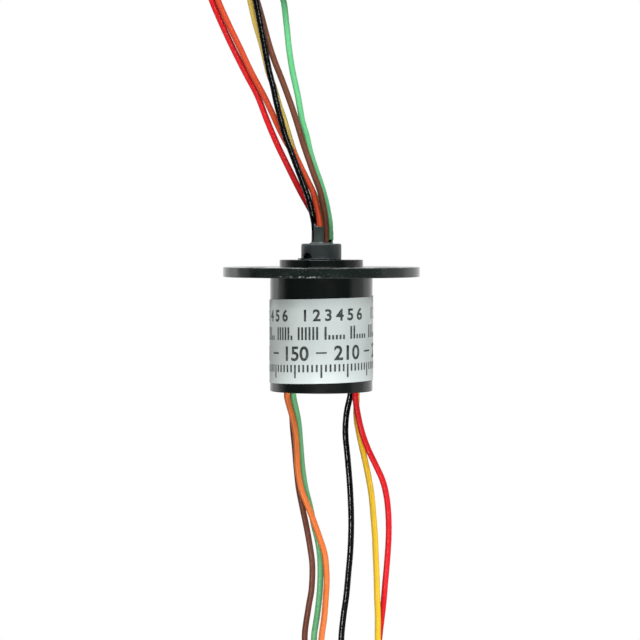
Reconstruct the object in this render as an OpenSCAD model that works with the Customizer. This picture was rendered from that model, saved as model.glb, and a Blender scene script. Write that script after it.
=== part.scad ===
// Capsule slip ring: six circuits, flanged housing, flying leads at both ends.
// The axis is Z, and z = 0 is the seat face under the flange.

/* [Housing] */
// Diameter of the body below the flange
body_d = 12.5; // [12:0.1:14]
// Length of the body below the flange
body_len = 13.9; // [13.5:0.1:16]
// Diameter of the flange
flange_d = 24; // [22:0.5:30]
// Thickness of the flange
flange_t = 1.2; // [1:0.1:1.6]
// Diameter of the round collar on the flange
collar_d = 10.2; // [9.6:0.1:12]
// Height of the collar above the flange
collar_h = 0.9; // [0.8:0.05:1.2]
// Small chamfer on the moulded edges
edge = 0.12; // [0.05:0.01:0.2]

/* [Mounting holes] */
// Number of holes through the flange
hole_count = 3; // [2:1:8]
// Diameter of each hole
hole_d = 2.7; // [2:0.1:3]
// Diameter of the circle that the holes lie on
hole_pcd = 18; // [17:0.1:18.6]

/* [Rotor] */
// Diameter of the rotor's nose
hub_d = 4.9; // [4.6:0.05:4.96]
// Height of the nose above the seat face
hub_top = 4.05; // [3.6:0.05:6]
// Diameter of the bore that carries the leads
rotor_bore_d = 2.7; // [2.6:0.05:2.8]
// Width of the drive notch at the foot of the nose
notch_w = 1.3; // [0.8:0.1:1.6]

/* [Contact rings] */
// Outside diameter of a contact ring
ring_d = 5.8; // [5.2:0.1:6]
// Width of a contact ring
ring_w = 0.9; // [0.8:0.02:0.92]
// Thickness of an insulating barrier
barrier_w = 0.45; // [0.4:0.01:0.46]
// Depth of the V groove in a contact ring
groove_depth = 0.3; // [0.2:0.02:0.4]

/* [Label] */
// Height of the label film
label_h = 10.15; // [6:0.05:10.5]
// Rise of the label from left to right, for each turn
label_rise = 0.88; // [0:0.02:1]

/* [Leads] */
// Outside diameter of a lead
lead_d = 0.75; // [0.6:0.01:0.76]

/* [Hidden] */
$fn = 96;

// Clearances
seat_gap = 0.01;            // between pieces that are pressed or glued together
run_gap = 0.03;             // between pieces that turn past each other
over = 1;                   // how far a cutter runs past the face that it cuts

// Housing
body_r = body_d / 2;
flange_r = flange_d / 2;
collar_r = collar_d / 2;
collar_top = flange_t + collar_h;
lip_t = 0.5;
lip_r = 2.62;
cavity_r = body_r - 1.05;
cap_seat_r = body_r - 0.85;
cap_t = 1.5;
cap_top = -body_len + cap_t;

// Upper bearing, 5 x 8 x 2.5 mm: [bore, inner race, ball circle, outer race, outside] radii
upper_radii = [2.5, 2.9, 3.25, 3.6, 4];
upper_ball_r = 0.5;
upper_balls = 11;
bearing_w = 2.5;
upper_z = collar_top - lip_t - bearing_w / 2;

// Lower bearing, 2 x 5 x 2.5 mm
lower_radii = [1, 1.35, 1.725, 2.1, 2.5];
lower_ball_r = 0.45;
lower_balls = 8;
cap_floor_t = 0.9;
journal_relief = 0.4;
lower_z = -body_len + cap_floor_t + journal_relief + bearing_w / 2;
groove_play = 0.03;
shield_t = 0.15;
shield_inset = 0.05;

// Rotor
hub_r = hub_d / 2;
bore_r = rotor_bore_d / 2;
hub_round = 0.18;
core_r = 1.9;
upper_shoulder_r = 2.8;
upper_shoulder_t = 0.35;
ring_count = 6;
pitch = ring_w + barrier_w;
barrier_r = 3.25;
stack_top = upper_z - bearing_w / 2 - upper_shoulder_t - barrier_w;
stack_bottom = stack_top - ring_count * ring_w - (ring_count - 1) * barrier_w;
lower_shoulder_r = 1.3;
journal_bottom = lower_z - bearing_w / 2 - journal_relief / 2;
ring_r = ring_d / 2;
wire_hole_r = 0.4;
clip_t = 0.15;
clip_r = 2.85;
clip_groove = 0.12;
clip_z = collar_top + run_gap;
notch_turn = -135;          // front left
notch_top = clip_z + clip_t + 0.65;
notch_depth = 0.6;

// Brushes: one pair of gold wires for each ring, from the left and right blocks in turn
wire_r = 0.1;
groove_half = 0.25;
groove_slope = atan(groove_half / groove_depth);
wire_y = ring_r - groove_depth + (wire_r + run_gap) / sin(groove_slope);
block_face = 3.6;
block_half_y = 3.3;
wire_in_block = 0.8;
wire_reach = 1.4;

// Lead exits
exit_x = 3.8;
exit_r = 1.1;
potting_top = hub_top + 0.15;
potting_lip_r = 1.45;
sleeve_x = 0.05;
sleeve_r = 1.28;
sleeve_wall = 0.12;
sleeve_foot = 3.3;
sleeve_top = 6.35;
sleeve_slope = 8;
potting_foot = 2.3;

// Label film
label_t = 0.06;
label_mid_z = -7.6;
label_step = 8;
label_half_turn = 176;
label_in_r = body_r / cos(label_step / 2) + 0.002;

// Lead coils: each lead lies in its own layer, and its turns in a flat spiral
lead_r = lead_d / 2;
lead_sides = 8;
lead_space = 0.77;
coil_entry_r = 9.62;
coil_out_r = 10;
coil_in_r = 6.2;
coil_w = 6 * lead_space;
rotor_coil = [-3.4, 0, 48];
stator_coil = [-2.1, 0, -62];
tie_w = 1.2;
tie_t = 0.4;

// Layer of each lead in its coil, front to back
layer = [for (i = [0 : 5]) (i - 2.5) * lead_space];

// The stretch where the six leads of an end run side by side into the coil
function rotor_bundle(y) = [[-12.7, y, 44], [-13, y, 46.2], [-13.02, y, 48]];
function stator_bundle(y) = [[6.9, y, -57], [7.5, y, -60], [7.52, y, -62]];

// Routes of the rotor leads, upwards from the potting
rotor_black = concat([[-0.8, -0.15, potting_top], [-0.8, -0.15, 5.4], [-0.9, -0.3, 6.6],
    [-1.1, -0.6, 7.6], [-1.5, -0.85, 9.3], [-2.2, -1, 11.3], [-2.95, -1.05, 13.3],
    [-3.7, -1.05, 15.3], [-4.4, -1.1, 17.2], [-4.95, -1.15, 19.2], [-5.45, -1.25, 21.2],
    [-5.85, -1.35, 23.1], [-6.35, -1.45, 25.1], [-6.9, -1.6, 28], [-7.4, -1.75, 30.8],
    [-8, -1.9, 33.8], [-8.6, layer[0], 35.8], [-9.8, layer[0], 38.2],
    [-11.4, layer[0], 41]], rotor_bundle(layer[0]));
rotor_brown = concat([[0.62, -0.72, potting_top], [0.62, -0.72, 5.4],
    [0.55, -0.78, 6.8], [0.3, -0.8, 8.4], [-0.15, -0.75, 10.4], [-0.85, -0.65, 12.3],
    [-1.55, -0.6, 14.3],
    [-2.2, -0.55, 16.2], [-2.8, -0.55, 18.2], [-3.4, -0.55, 20.1], [-4.1, -0.55, 22.1],
    [-4.85, -0.6, 24.1], [-5.6, -0.65, 26], [-6.25, -0.75, 27.9], [-6.8, -0.9, 29.9],
    [-7.3, -1.05, 31.8], [-7.9, -1.1, 33.8], [-8.6, layer[1], 35.8],
    [-9.8, layer[1], 38.2], [-11.4, layer[1], 41]], rotor_bundle(layer[1]));
rotor_yellow = concat([[0.32, 0.73, potting_top], [0.32, 0.73, 5.4], [0, 0.75, 7.4],
    [-0.6, 0.7, 9.4], [-1.5, 0.65, 11.4], [-2.45, 0.6, 13.3], [-3.3, 0.6, 15.2],
    [-3.95, 0.55, 17.2], [-4.55, 0.4, 19.2], [-5.2, 0.3, 21.1], [-5.75, 0.2, 23],
    [-6.45, 0.1, 25], [-7.15, -0.05, 27.9], [-8, -0.2, 30.8], [-8.7, -0.35, 33.8],
    [-9.3, layer[2], 36], [-10.3, layer[2], 38.6], [-11.6, layer[2], 41.3]],
    rotor_bundle(layer[2]));
rotor_orange = concat([[-0.15, -0.72, potting_top], [-0.15, -0.72, 5.8],
    [-0.26, -0.45, 7.4], [-0.48, -0.3, 8.6], [-1.05, -0.25, 10.5], [-1.6, -0.22, 11.5],
    [-2.45, -0.22, 13.3], [-3.4, -0.24, 15.1], [-4.2, -0.15, 16.3], [-5.15, 0, 18.2],
    [-6, 0.05, 20.1], [-6.95, 0.1, 22.1], [-8.5, 0.15, 25], [-9.85, 0.2, 27.9],
    [-11.25, 0.3, 30.8], [-12.55, 0.35, 33.8], [-13.2, layer[3], 36.2],
    [-13.5, layer[3], 38.8], [-13.3, layer[3], 41.4]], rotor_bundle(layer[3]));
rotor_red = concat([[-0.42, 0.58, potting_top], [-0.42, 0.58, 6.1], [-0.85, 0.6, 7.3],
    [-1.6, 0.6, 8.7], [-2.6, 0.6, 10.5], [-3.95, 0.65, 13.2], [-5.4, 0.7, 16.2],
    [-6.65, 0.8, 19.1], [-7.85, 0.85, 22.1], [-9.4, 0.95, 25], [-10.85, 1, 27.9],
    [-12.2, 1.05, 30.8], [-13.45, 1.1, 33.8], [-14.1, layer[4], 36.2],
    [-14.2, layer[4], 38.8], [-13.6, layer[4], 41.4]], rotor_bundle(layer[4]));
rotor_green = concat([[1.05, -0.1, potting_top], [1.05, -0.1, 6.2], [0.9, 0.05, 7.4],
    [0.5, 0.15, 9.4], [-0.05, 0.2, 11.3], [-0.75, 0.2, 13.3], [-1.35, 0.25, 15.2],
    [-1.8, 0.3, 17.2], [-2.35, 0.4, 19.1], [-2.85, 0.5, 22], [-3.5, 0.8, 25],
    [-3.95, 1.1, 27.9], [-4.25, 1.5, 30.8], [-4.65, 1.8, 33.8], [-5.5, layer[5], 35.8],
    [-7.3, layer[5], 37.4], [-9.6, layer[5], 39], [-11.6, layer[5], 41.4]],
    rotor_bundle(layer[5]));

// Routes of the stator leads, downwards from the end cap
stator_orange = concat([[-4.1, -0.6, -body_len], [-4.1, -0.6, -14.8], [-3.4, -0.65, -17.4],
    [-3.1, -0.65, -19.5], [-2.95, -0.7, -21.6], [-2.75, -0.75, -23.7],
    [-2.3, -0.8, -25.9], [-1.5, -0.8, -27.8], [-0.8, -0.85, -29.6],
    [-0.05, -0.85, -31.9], [0.5, -0.9, -34], [0.65, -0.95, -36.8], [0.55, -1, -39],
    [0.35, -1.1, -41.6], [0, -1.3, -44.3], [0.1, -1.6, -46.6], [1.4, layer[0], -49],
    [3.4, layer[0], -51], [5.5, layer[0], -53.8]], stator_bundle(layer[0]));
stator_yellow = concat([[4.6, 0.25, -body_len], [4.6, 0.25, -14.8], [4.35, 0.3, -17.2],
    [4.75, 0.35, -19.8], [5.35, 0.4, -22.7], [5.75, 0.35, -24.8], [6.1, 0.25, -26.8],
    [6.35, 0.1, -29], [6.55, -0.1, -31.6], [6.65, -0.3, -34], [6.75, -0.5, -36.4],
    [6.8, -0.7, -38.8], [6.9, -0.85, -41.4], [6.9, -0.95, -44.3], [7, -1.05, -48],
    [7.05, layer[1], -51], [7, layer[1], -54]], stator_bundle(layer[1]));
stator_black = concat([[3.55, 0.3, -body_len], [3.55, 0.3, -14.6], [3.05, 0.3, -16.8],
    [2.9, 0.25, -19.2], [3.15, 0.2, -21.8], [3.4, 0.1, -24.8], [3.55, 0, -27.6],
    [3.6, -0.1, -30.2], [3.5, -0.15, -33.4], [3.25, -0.2, -36.2], [3, -0.25, -39],
    [2.7, -0.3, -41.6], [2.45, -0.35, -44.3], [2.6, layer[2], -46.8],
    [3.6, layer[2], -49.6], [5.1, layer[2], -52.6]], stator_bundle(layer[2]));
stator_green = concat([[-3.3, -0.15, -body_len], [-3.3, -0.15, -14.8], [-2.65, 0, -17.6],
    [-2.4, 0.1, -20.6], [-2.15, 0.15, -23.4], [-1.8, 0.15, -25.8], [-1.4, 0.1, -27.8],
    [-0.9, 0.1, -30.4], [-0.3, 0.1, -33], [-0.1, 0.15, -35.6], [-0.2, 0.2, -38.6],
    [-0.5, 0.25, -41.4], [-0.9, 0.3, -44.3], [-0.6, layer[3], -46.6],
    [0.9, layer[3], -48.8], [3.1, layer[3], -50.8], [5.4, layer[3], -53.6]],
    stator_bundle(layer[3]));
stator_red = concat([[4.1, -0.6, -body_len], [4.1, -0.6, -15], [4.35, -0.6, -16.8],
    [4.85, -0.5, -18.9], [5.65, -0.4, -21], [6.6, -0.3, -22.9], [7.5, -0.1, -24.9],
    [8, 0.1, -27], [8.2, 0.3, -29.4], [8.2, 0.5, -32], [8, 0.65, -34.8],
    [7.75, 0.8, -37.6], [7.55, 0.9, -40.4], [7.15, 1, -44.3], [6.9, 1.1, -48],
    [6.85, layer[4], -51], [6.8, layer[4], -54]], stator_bundle(layer[4]));
stator_brown = concat([[-3.65, 0.6, -body_len], [-3.65, 0.6, -14.8], [-3.8, 0.75, -18],
    [-3.7, 0.85, -20.8], [-3.4, 0.9, -23.6], [-2.9, 0.95, -25.9], [-2.4, 1, -28.1],
    [-1.8, 1.05, -30.8], [-1.35, 1.1, -33.4], [-1.15, 1.15, -35.6],
    [-1.3, 1.25, -38.4], [-1.65, 1.35, -40.6], [-2.1, 1.5, -44.3],
    [-1.6, 1.8, -46.4], [-0.1, layer[5], -48.2], [2.2, layer[5], -50],
    [4.8, layer[5], -52.8]], stator_bundle(layer[5]));

// A closed skin through equal sections, each listed anticlockwise as seen from ahead
module swept_solid(sections) {
    n = len(sections[0]);
    last = (len(sections) - 1) * n;
    sides = [for (i = [0 : len(sections) - 2], k = [0 : n - 1])
        let (a = i * n + k, b = i * n + (k + 1) % n)
        each [[a, a + n, b + n], [a, b + n, b]]];
    foot = [for (k = [0 : n - 1]) k];
    head = [for (k = [n - 1 : -1 : 0]) last + k];
    polyhedron([for (s = sections) each s], concat([foot], sides, [head]));
}

function unit(v) = v / norm(v);
function heading(path, i) =
    unit(path[min(i + 1, len(path) - 1)] - path[max(i - 1, 0)]);
function lead_section(path, i) =
    let (ahead = heading(path, i), side = unit(cross([0, 1, 0], ahead)),
         up = cross(ahead, side))
    [for (k = [0 : lead_sides - 1])
        let (turn = 360 * k / lead_sides)
        path[i] + lead_r * (cos(turn) * side + sin(turn) * up)];

module lead(path) {
    swept_solid([for (i = [0 : len(path) - 1]) lead_section(path, i)]);
}

module tube(outer_r, inner_r, low, high) {
    translate([0, 0, low])
        difference() {
            cylinder(r = outer_r, h = high - low);
            translate([0, 0, -over]) cylinder(r = inner_r, h = high - low + 2 * over);
        }
}

// Housing

module housing_profile() {
    polygon([
        [lip_r, collar_top], [collar_r - edge, collar_top], [collar_r, collar_top - edge],
        [collar_r, flange_t], [flange_r - edge, flange_t], [flange_r, flange_t - edge],
        [flange_r, edge], [flange_r - edge, 0], [body_r, 0],
        [body_r, -body_len + edge], [body_r - edge, -body_len],
        [cap_seat_r, -body_len], [cap_seat_r, cap_top], [cavity_r, cap_top],
        [cavity_r, upper_z - bearing_w / 2], [upper_radii[4], upper_z - bearing_w / 2],
        [upper_radii[4], upper_z + bearing_w / 2], [lip_r, upper_z + bearing_w / 2]]);
}

module housing() {
    color([0.13, 0.14, 0.14])
        difference() {
            rotate_extrude() housing_profile();
            for (i = [0 : hole_count - 1])
                rotate([0, 0, 90 + 360 * i / hole_count])
                    translate([hole_pcd / 2, 0, -over])
                        cylinder(d = hole_d, h = flange_t + 2 * over);
        }
}

module end_cap() {
    boss_r = lower_radii[4] + 0.4;
    color([0.14, 0.15, 0.15])
        difference() {
            union() {
                translate([0, 0, -body_len])
                    cylinder(r = cap_seat_r - seat_gap, h = cap_t);
                translate([0, 0, -body_len]) cylinder(r = boss_r, h = cap_t + 2.1);
            }
            translate([0, 0, lower_z - bearing_w / 2])
                cylinder(r = lower_radii[4] + seat_gap, h = bearing_w + over);
            translate([0, 0, -body_len + cap_floor_t])
                cylinder(r = lower_radii[3] - 0.3, h = bearing_w);
            for (side = [-1, 1])
                translate([side * exit_x, 0, -body_len - over])
                    cylinder(r = exit_r, h = cap_t + 2 * over);
        }
}

module stator_potting(side) {
    color([0.1, 0.11, 0.11])
        difference() {
            translate([side * exit_x, 0, -body_len])
                cylinder(r = exit_r - seat_gap, h = cap_t);
            translate([0, 0, -body_len - over])
                cylinder(r = lower_radii[4] + 0.4 + seat_gap, h = cap_t + 2 * over);
        }
}

module left_stator_potting() { stator_potting(-1); }
module right_stator_potting() { stator_potting(1); }

module label() {
    sections = [for (turn = [-label_half_turn : label_step : label_half_turn])
        let (low = label_mid_z - label_h / 2 + label_rise * turn / 360,
             out = [sin(turn), -cos(turn), 0], in_r = label_in_r,
             out_r = label_in_r + label_t, top = [0, 0, low + label_h])
        [in_r * out + [0, 0, low], in_r * out + top,
         out_r * out + top, out_r * out + [0, 0, low]]];
    color([0.84, 0.87, 0.86]) swept_solid(sections);
}

// Brushes

function ring_mid(i) = stack_top - ring_w / 2 - (i - 1) * pitch;

module wires(side, rings, r, from, to) {
    for (i = rings, y = [-wire_y, wire_y])
        translate([side * from, y, ring_mid(i)])
            rotate([0, -90 * side, 0]) cylinder(r = r, h = from - to, $fn = 24);
}

module brush_block(side, rings) {
    foot = cap_top + seat_gap;
    top = upper_z - bearing_w / 2 - seat_gap;
    color([0.16, 0.19, 0.22])
        difference() {
            intersection() {
                translate([0, 0, foot]) cylinder(r = cavity_r - seat_gap, h = top - foot);
                translate([side > 0 ? block_face : -block_face - 2 * over, -block_half_y, foot])
                    cube([2 * over, 2 * block_half_y, top - foot]);
            }
            wires(side, rings, wire_r + seat_gap, block_face + wire_in_block, block_face - over);
            translate([side * exit_x, 0, foot - over])
                cylinder(r = exit_r, h = over + 1.6);
        }
}

module left_brush_block() { brush_block(-1, [1, 3, 5]); }
module right_brush_block() { brush_block(1, [2, 4, 6]); }

module brushes(side, rings) {
    color([0.85, 0.65, 0.3])
        wires(side, rings, wire_r, block_face + wire_in_block - seat_gap, -wire_reach);
}

module left_brushes() { brushes(-1, [1, 3, 5]); }
module right_brushes() { brushes(1, [2, 4, 6]); }

// Bearings

module race(inner_r, outer_r, ball_circle, ball_r, mid) {
    color([0.7, 0.71, 0.73])
        rotate_extrude()
            difference() {
                translate([inner_r, mid - bearing_w / 2])
                    square([outer_r - inner_r, bearing_w]);
                translate([ball_circle, mid]) circle(r = ball_r + groove_play, $fn = 48);
            }
}

module outer_race(radii, ball_r, mid) {
    race(radii[3], radii[4] - seat_gap, radii[2], ball_r, mid);
}

module inner_race(radii, ball_r, mid) {
    race(radii[0] + seat_gap, radii[1], radii[2], ball_r, mid);
}

module shields(radii, mid) {
    color([0.6, 0.61, 0.62])
        for (low = [mid - bearing_w / 2 + shield_inset,
                    mid + bearing_w / 2 - shield_inset - shield_t])
            tube(radii[3] - seat_gap, radii[1] + 0.06, low, low + shield_t);
}

module ball_set(radii, ball_r, count, mid, grow) {
    for (i = [0 : count - 1])
        rotate([0, 0, 360 * i / count])
            translate([radii[2], 0, mid]) sphere(r = ball_r + grow, $fn = 32);
}

module balls(radii, ball_r, count, mid) {
    color([0.75, 0.76, 0.78]) ball_set(radii, ball_r, count, mid, 0);
}

module cage(radii, ball_r, count, mid) {
    color([0.8, 0.7, 0.45])
        difference() {
            tube(radii[2] + 0.09, radii[2] - 0.09, mid - 0.2, mid + 0.75);
            ball_set(radii, ball_r, count, mid, 0.02);
        }
}

module upper_outer_race() { outer_race(upper_radii, upper_ball_r, upper_z); }
module upper_inner_race() { inner_race(upper_radii, upper_ball_r, upper_z); }
module upper_bearing_shields() { shields(upper_radii, upper_z); }
module upper_bearing_balls() { balls(upper_radii, upper_ball_r, upper_balls, upper_z); }
module upper_bearing_cage() { cage(upper_radii, upper_ball_r, upper_balls, upper_z); }
module lower_outer_race() { outer_race(lower_radii, lower_ball_r, lower_z); }
module lower_inner_race() { inner_race(lower_radii, lower_ball_r, lower_z); }
module lower_bearing_shields() { shields(lower_radii, lower_z); }
module lower_bearing_balls() { balls(lower_radii, lower_ball_r, lower_balls, lower_z); }
module lower_bearing_cage() { cage(lower_radii, lower_ball_r, lower_balls, lower_z); }

// Rotor

module rotor_profile() {
    shoulder = upper_z - bearing_w / 2;
    polygon(concat([
        [0, journal_bottom], [lower_radii[0] - 0.1, journal_bottom],
        [lower_radii[0], journal_bottom + 0.1],
        [lower_radii[0], lower_z + bearing_w / 2],
        [lower_shoulder_r, lower_z + bearing_w / 2],
        [lower_shoulder_r, stack_bottom - barrier_w],
        [core_r, stack_bottom - barrier_w], [core_r, stack_top], [barrier_r, stack_top],
        [barrier_r, shoulder - upper_shoulder_t],
        [upper_shoulder_r, shoulder - upper_shoulder_t], [upper_shoulder_r, shoulder],
        [upper_radii[0], shoulder], [upper_radii[0], shoulder + bearing_w],
        [hub_r, shoulder + bearing_w], [hub_r, clip_z], [hub_r - clip_groove, clip_z],
        [hub_r - clip_groove, clip_z + clip_t], [hub_r, clip_z + clip_t]],
        [for (a = [0 : 15 : 90])
            [hub_r - hub_round * (1 - cos(a)), hub_top - hub_round * (1 - sin(a))]],
        [[bore_r, hub_top], [bore_r, ring_mid(ring_count) - 0.5],
         [0, ring_mid(ring_count) - 0.5 - bore_r / 2]]));
}

module drive_notch() {
    arch = [for (a = [0 : 20 : 180]) notch_w / 2 * [cos(a), sin(a)]];
    foot = clip_z + clip_t / 2 - notch_top + notch_w / 2;
    translate([0, 0, notch_top - notch_w / 2])
        rotate([90, 0, 90 + notch_turn])
            translate([0, 0, hub_r - notch_depth])
                linear_extrude(notch_depth + over)
                    polygon(concat(arch, [[-notch_w / 2, foot], [notch_w / 2, foot]]));
}

module rotor_shaft() {
    color([0.2, 0.22, 0.22])
        difference() {
            rotate_extrude() rotor_profile();
            drive_notch();
            for (i = [1 : ring_count])
                rotate([0, 0, 360 * i / ring_count])
                    translate([0, 0, ring_mid(i)])
                        rotate([0, 90, 0]) cylinder(r = wire_hole_r, h = core_r + over);
        }
}

module contact_ring(i) {
    mid = ring_mid(i);
    color([0.86, 0.66, 0.32])
        rotate_extrude()
            polygon([
                [core_r + seat_gap, mid - ring_w / 2], [ring_r, mid - ring_w / 2],
                [ring_r, mid - groove_half], [ring_r - groove_depth, mid],
                [ring_r, mid + groove_half], [ring_r, mid + ring_w / 2],
                [core_r + seat_gap, mid + ring_w / 2]]);
}

module barrier(i) {
    top = ring_mid(i) - ring_w / 2;
    color([0.12, 0.12, 0.13]) tube(barrier_r, core_r + seat_gap, top - barrier_w, top);
}

module contact_ring_1() { contact_ring(1); }
module contact_ring_2() { contact_ring(2); }
module contact_ring_3() { contact_ring(3); }
module contact_ring_4() { contact_ring(4); }
module contact_ring_5() { contact_ring(5); }
module contact_ring_6() { contact_ring(6); }
module ring_barrier_1() { barrier(1); }
module ring_barrier_2() { barrier(2); }
module ring_barrier_3() { barrier(3); }
module ring_barrier_4() { barrier(4); }
module ring_barrier_5() { barrier(5); }
module rotor_end_collar() { barrier(ring_count); }

module retaining_clip() {
    color([0.25, 0.27, 0.27])
        difference() {
            tube(clip_r, hub_r - clip_groove + seat_gap, clip_z, clip_z + clip_t - seat_gap);
            rotate([0, 0, notch_turn])
                translate([0, -notch_w / 2, clip_z - over])
                    cube([clip_r + over, notch_w, clip_t + 2 * over]);
        }
}

module sleeve_cut() {
    translate([sleeve_x, 0, sleeve_top])
        rotate([0, sleeve_slope, 0])
            translate([-2 * sleeve_r, -2 * sleeve_r, 0])
                cube([4 * sleeve_r, 4 * sleeve_r, sleeve_top]);
}

// The slits that let the leads bulge out: [middle angle, half width, foot]
sleeve_slits = [[-29, 46, potting_top], [-167, 23, potting_top]];

module wedge(angle, half, foot) {
    reach = 2 * sleeve_r;
    translate([0, 0, foot])
        linear_extrude(sleeve_top)
            polygon([[0, 0], reach * [cos(angle - half), sin(angle - half)],
                reach * [cos(angle), sin(angle)], reach * [cos(angle + half), sin(angle + half)]]);
}

module rotor_lead_sleeve() {
    color([0.24, 0.27, 0.27])
        difference() {
            translate([sleeve_x, 0, 0])
                difference() {
                    tube(sleeve_r, sleeve_r - sleeve_wall, sleeve_foot, sleeve_top);
                    for (s = sleeve_slits) wedge(s[0], s[1], s[2]);
                }
            sleeve_cut();
        }
}

module rotor_potting() {
    color([0.18, 0.2, 0.2])
        difference() {
            union() {
                translate([0, 0, potting_foot])
                    cylinder(r = bore_r - seat_gap, h = potting_top - potting_foot);
                translate([0, 0, hub_top]) cylinder(r = potting_lip_r, h = potting_top - hub_top);
            }
            translate([sleeve_x, 0, 0])
                tube(sleeve_r + seat_gap / 2, sleeve_r - sleeve_wall - seat_gap / 2,
                    sleeve_foot, potting_top + over);
        }
}

// Leads, coils and ties

red = [0.92, 0.16, 0.18];
orange = [0.94, 0.42, 0.22];
yellow = [0.98, 0.8, 0.2];
black = [0.09, 0.1, 0.1];
brown = [0.46, 0.26, 0.19];
green = [0.5, 0.85, 0.6];

module rotor_lead_red() { color(red) lead(rotor_red); }
module rotor_lead_orange() { color(orange) lead(rotor_orange); }
module rotor_lead_yellow() { color(yellow) lead(rotor_yellow); }
module rotor_lead_black() { color(black) lead(rotor_black); }
module rotor_lead_brown() { color(brown) lead(rotor_brown); }
module rotor_lead_green() { color(green) lead(rotor_green); }
module stator_lead_orange() { color(orange) lead(stator_orange); }
module stator_lead_green() { color(green) lead(stator_green); }
module stator_lead_brown() { color(brown) lead(stator_brown); }
module stator_lead_black() { color(black) lead(stator_black); }
module stator_lead_red() { color(red) lead(stator_red); }
module stator_lead_yellow() { color(yellow) lead(stator_yellow); }

module lead_coil(centre) {
    color([0.6, 0.5, 0.4])
        translate(centre)
            rotate([90, 0, 0]) tube(coil_out_r, coil_in_r, -coil_w / 2, coil_w / 2);
}

module lead_tie(centre, end) {
    depth = coil_out_r - coil_in_r;
    color([0.12, 0.12, 0.12])
        translate(centre + [0, 0, end * (coil_in_r + coil_out_r) / 2])
            difference() {
                cube([tie_w, coil_w + 2 * tie_t, depth + 2 * tie_t], center = true);
                cube([tie_w + over, coil_w + seat_gap, depth + 0.06], center = true);
            }
}

module rotor_lead_coil() { lead_coil(rotor_coil); }
module stator_lead_coil() { lead_coil(stator_coil); }
module rotor_lead_tie() { lead_tie(rotor_coil, 1); }
module stator_lead_tie() { lead_tie(stator_coil, -1); }

housing();
end_cap();
label();
left_brush_block();
right_brush_block();
left_brushes();
right_brushes();
upper_outer_race();
upper_inner_race();
upper_bearing_shields();
upper_bearing_balls();
upper_bearing_cage();
lower_outer_race();
lower_inner_race();
lower_bearing_shields();
lower_bearing_balls();
lower_bearing_cage();
rotor_shaft();
contact_ring_1();
contact_ring_2();
contact_ring_3();
contact_ring_4();
contact_ring_5();
contact_ring_6();
ring_barrier_1();
ring_barrier_2();
ring_barrier_3();
ring_barrier_4();
ring_barrier_5();
rotor_end_collar();
retaining_clip();
rotor_potting();
rotor_lead_sleeve();
left_stator_potting();
right_stator_potting();
rotor_lead_red();
rotor_lead_orange();
rotor_lead_yellow();
rotor_lead_black();
rotor_lead_brown();
rotor_lead_green();
rotor_lead_coil();
rotor_lead_tie();
stator_lead_orange();
stator_lead_green();
stator_lead_brown();
stator_lead_black();
stator_lead_red();
stator_lead_yellow();
stator_lead_coil();
stator_lead_tie();
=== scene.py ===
import bpy
import math
from mathutils import Matrix, Vector, noise


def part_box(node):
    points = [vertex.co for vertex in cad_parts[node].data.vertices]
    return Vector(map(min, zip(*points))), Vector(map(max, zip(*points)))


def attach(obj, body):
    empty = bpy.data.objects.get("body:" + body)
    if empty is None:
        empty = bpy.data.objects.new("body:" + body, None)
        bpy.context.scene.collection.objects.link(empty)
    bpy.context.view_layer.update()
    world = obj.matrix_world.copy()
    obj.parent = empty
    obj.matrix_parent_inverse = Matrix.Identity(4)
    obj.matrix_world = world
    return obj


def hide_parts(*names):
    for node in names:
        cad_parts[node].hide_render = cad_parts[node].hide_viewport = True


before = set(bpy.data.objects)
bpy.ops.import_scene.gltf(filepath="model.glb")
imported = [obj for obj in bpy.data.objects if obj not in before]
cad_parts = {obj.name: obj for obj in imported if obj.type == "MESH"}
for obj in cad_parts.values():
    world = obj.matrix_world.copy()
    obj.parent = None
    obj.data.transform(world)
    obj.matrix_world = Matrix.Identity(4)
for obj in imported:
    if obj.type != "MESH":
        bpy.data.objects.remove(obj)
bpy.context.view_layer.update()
mm = 0.001

# tools that every piece uses; their sizes are in millimetres


def deselectAll():
    bpy.ops.object.select_all(action='DESELECT')


def activate(piece):
    deselectAll()
    piece.select_set(True)
    bpy.context.view_layer.objects.active = piece


def setMode(mode):
    bpy.ops.object.mode_set(mode=mode)


def addPart(add, **values):  # a new primitive, with nothing else selected
    deselectAll()
    add(**values)
    return bpy.context.object


def extrudeUp(height):  # in millimetres
    bpy.ops.mesh.extrude_region_move(TRANSFORM_OT_translate={"value": (0, 0, height * mm)})


def resizeRing(factor, z=0):
    bpy.ops.transform.resize(value=(factor, factor, 1), center_override=(0, 0, z * mm))


def tidyMesh(piece):  # applies its place, merges doubles and turns its faces outwards
    activate(piece)
    bpy.ops.object.transform_apply(location=True, rotation=True, scale=True)
    setMode('EDIT')
    bpy.ops.mesh.select_all(action='SELECT')
    bpy.ops.mesh.remove_doubles(threshold=1e-7)
    bpy.ops.mesh.normals_make_consistent(inside=False)
    setMode('OBJECT')


def applyModifier(piece, kind, **values):
    activate(piece)
    modifier = piece.modifiers.new(kind.title(), kind)
    for key, value in values.items():
        setattr(modifier, key, value)
    bpy.ops.object.modifier_apply(modifier=modifier.name)


def smoothByAngle(piece, angle=40):
    activate(piece)
    bpy.ops.object.shade_smooth_by_angle(angle=math.radians(angle))


def softenEdges(piece, width, segments=3, angle=35):
    applyModifier(piece, 'BEVEL', width=width * mm, segments=segments,
                  limit_method='ANGLE', angle_limit=math.radians(angle))
    smoothByAngle(piece)


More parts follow.
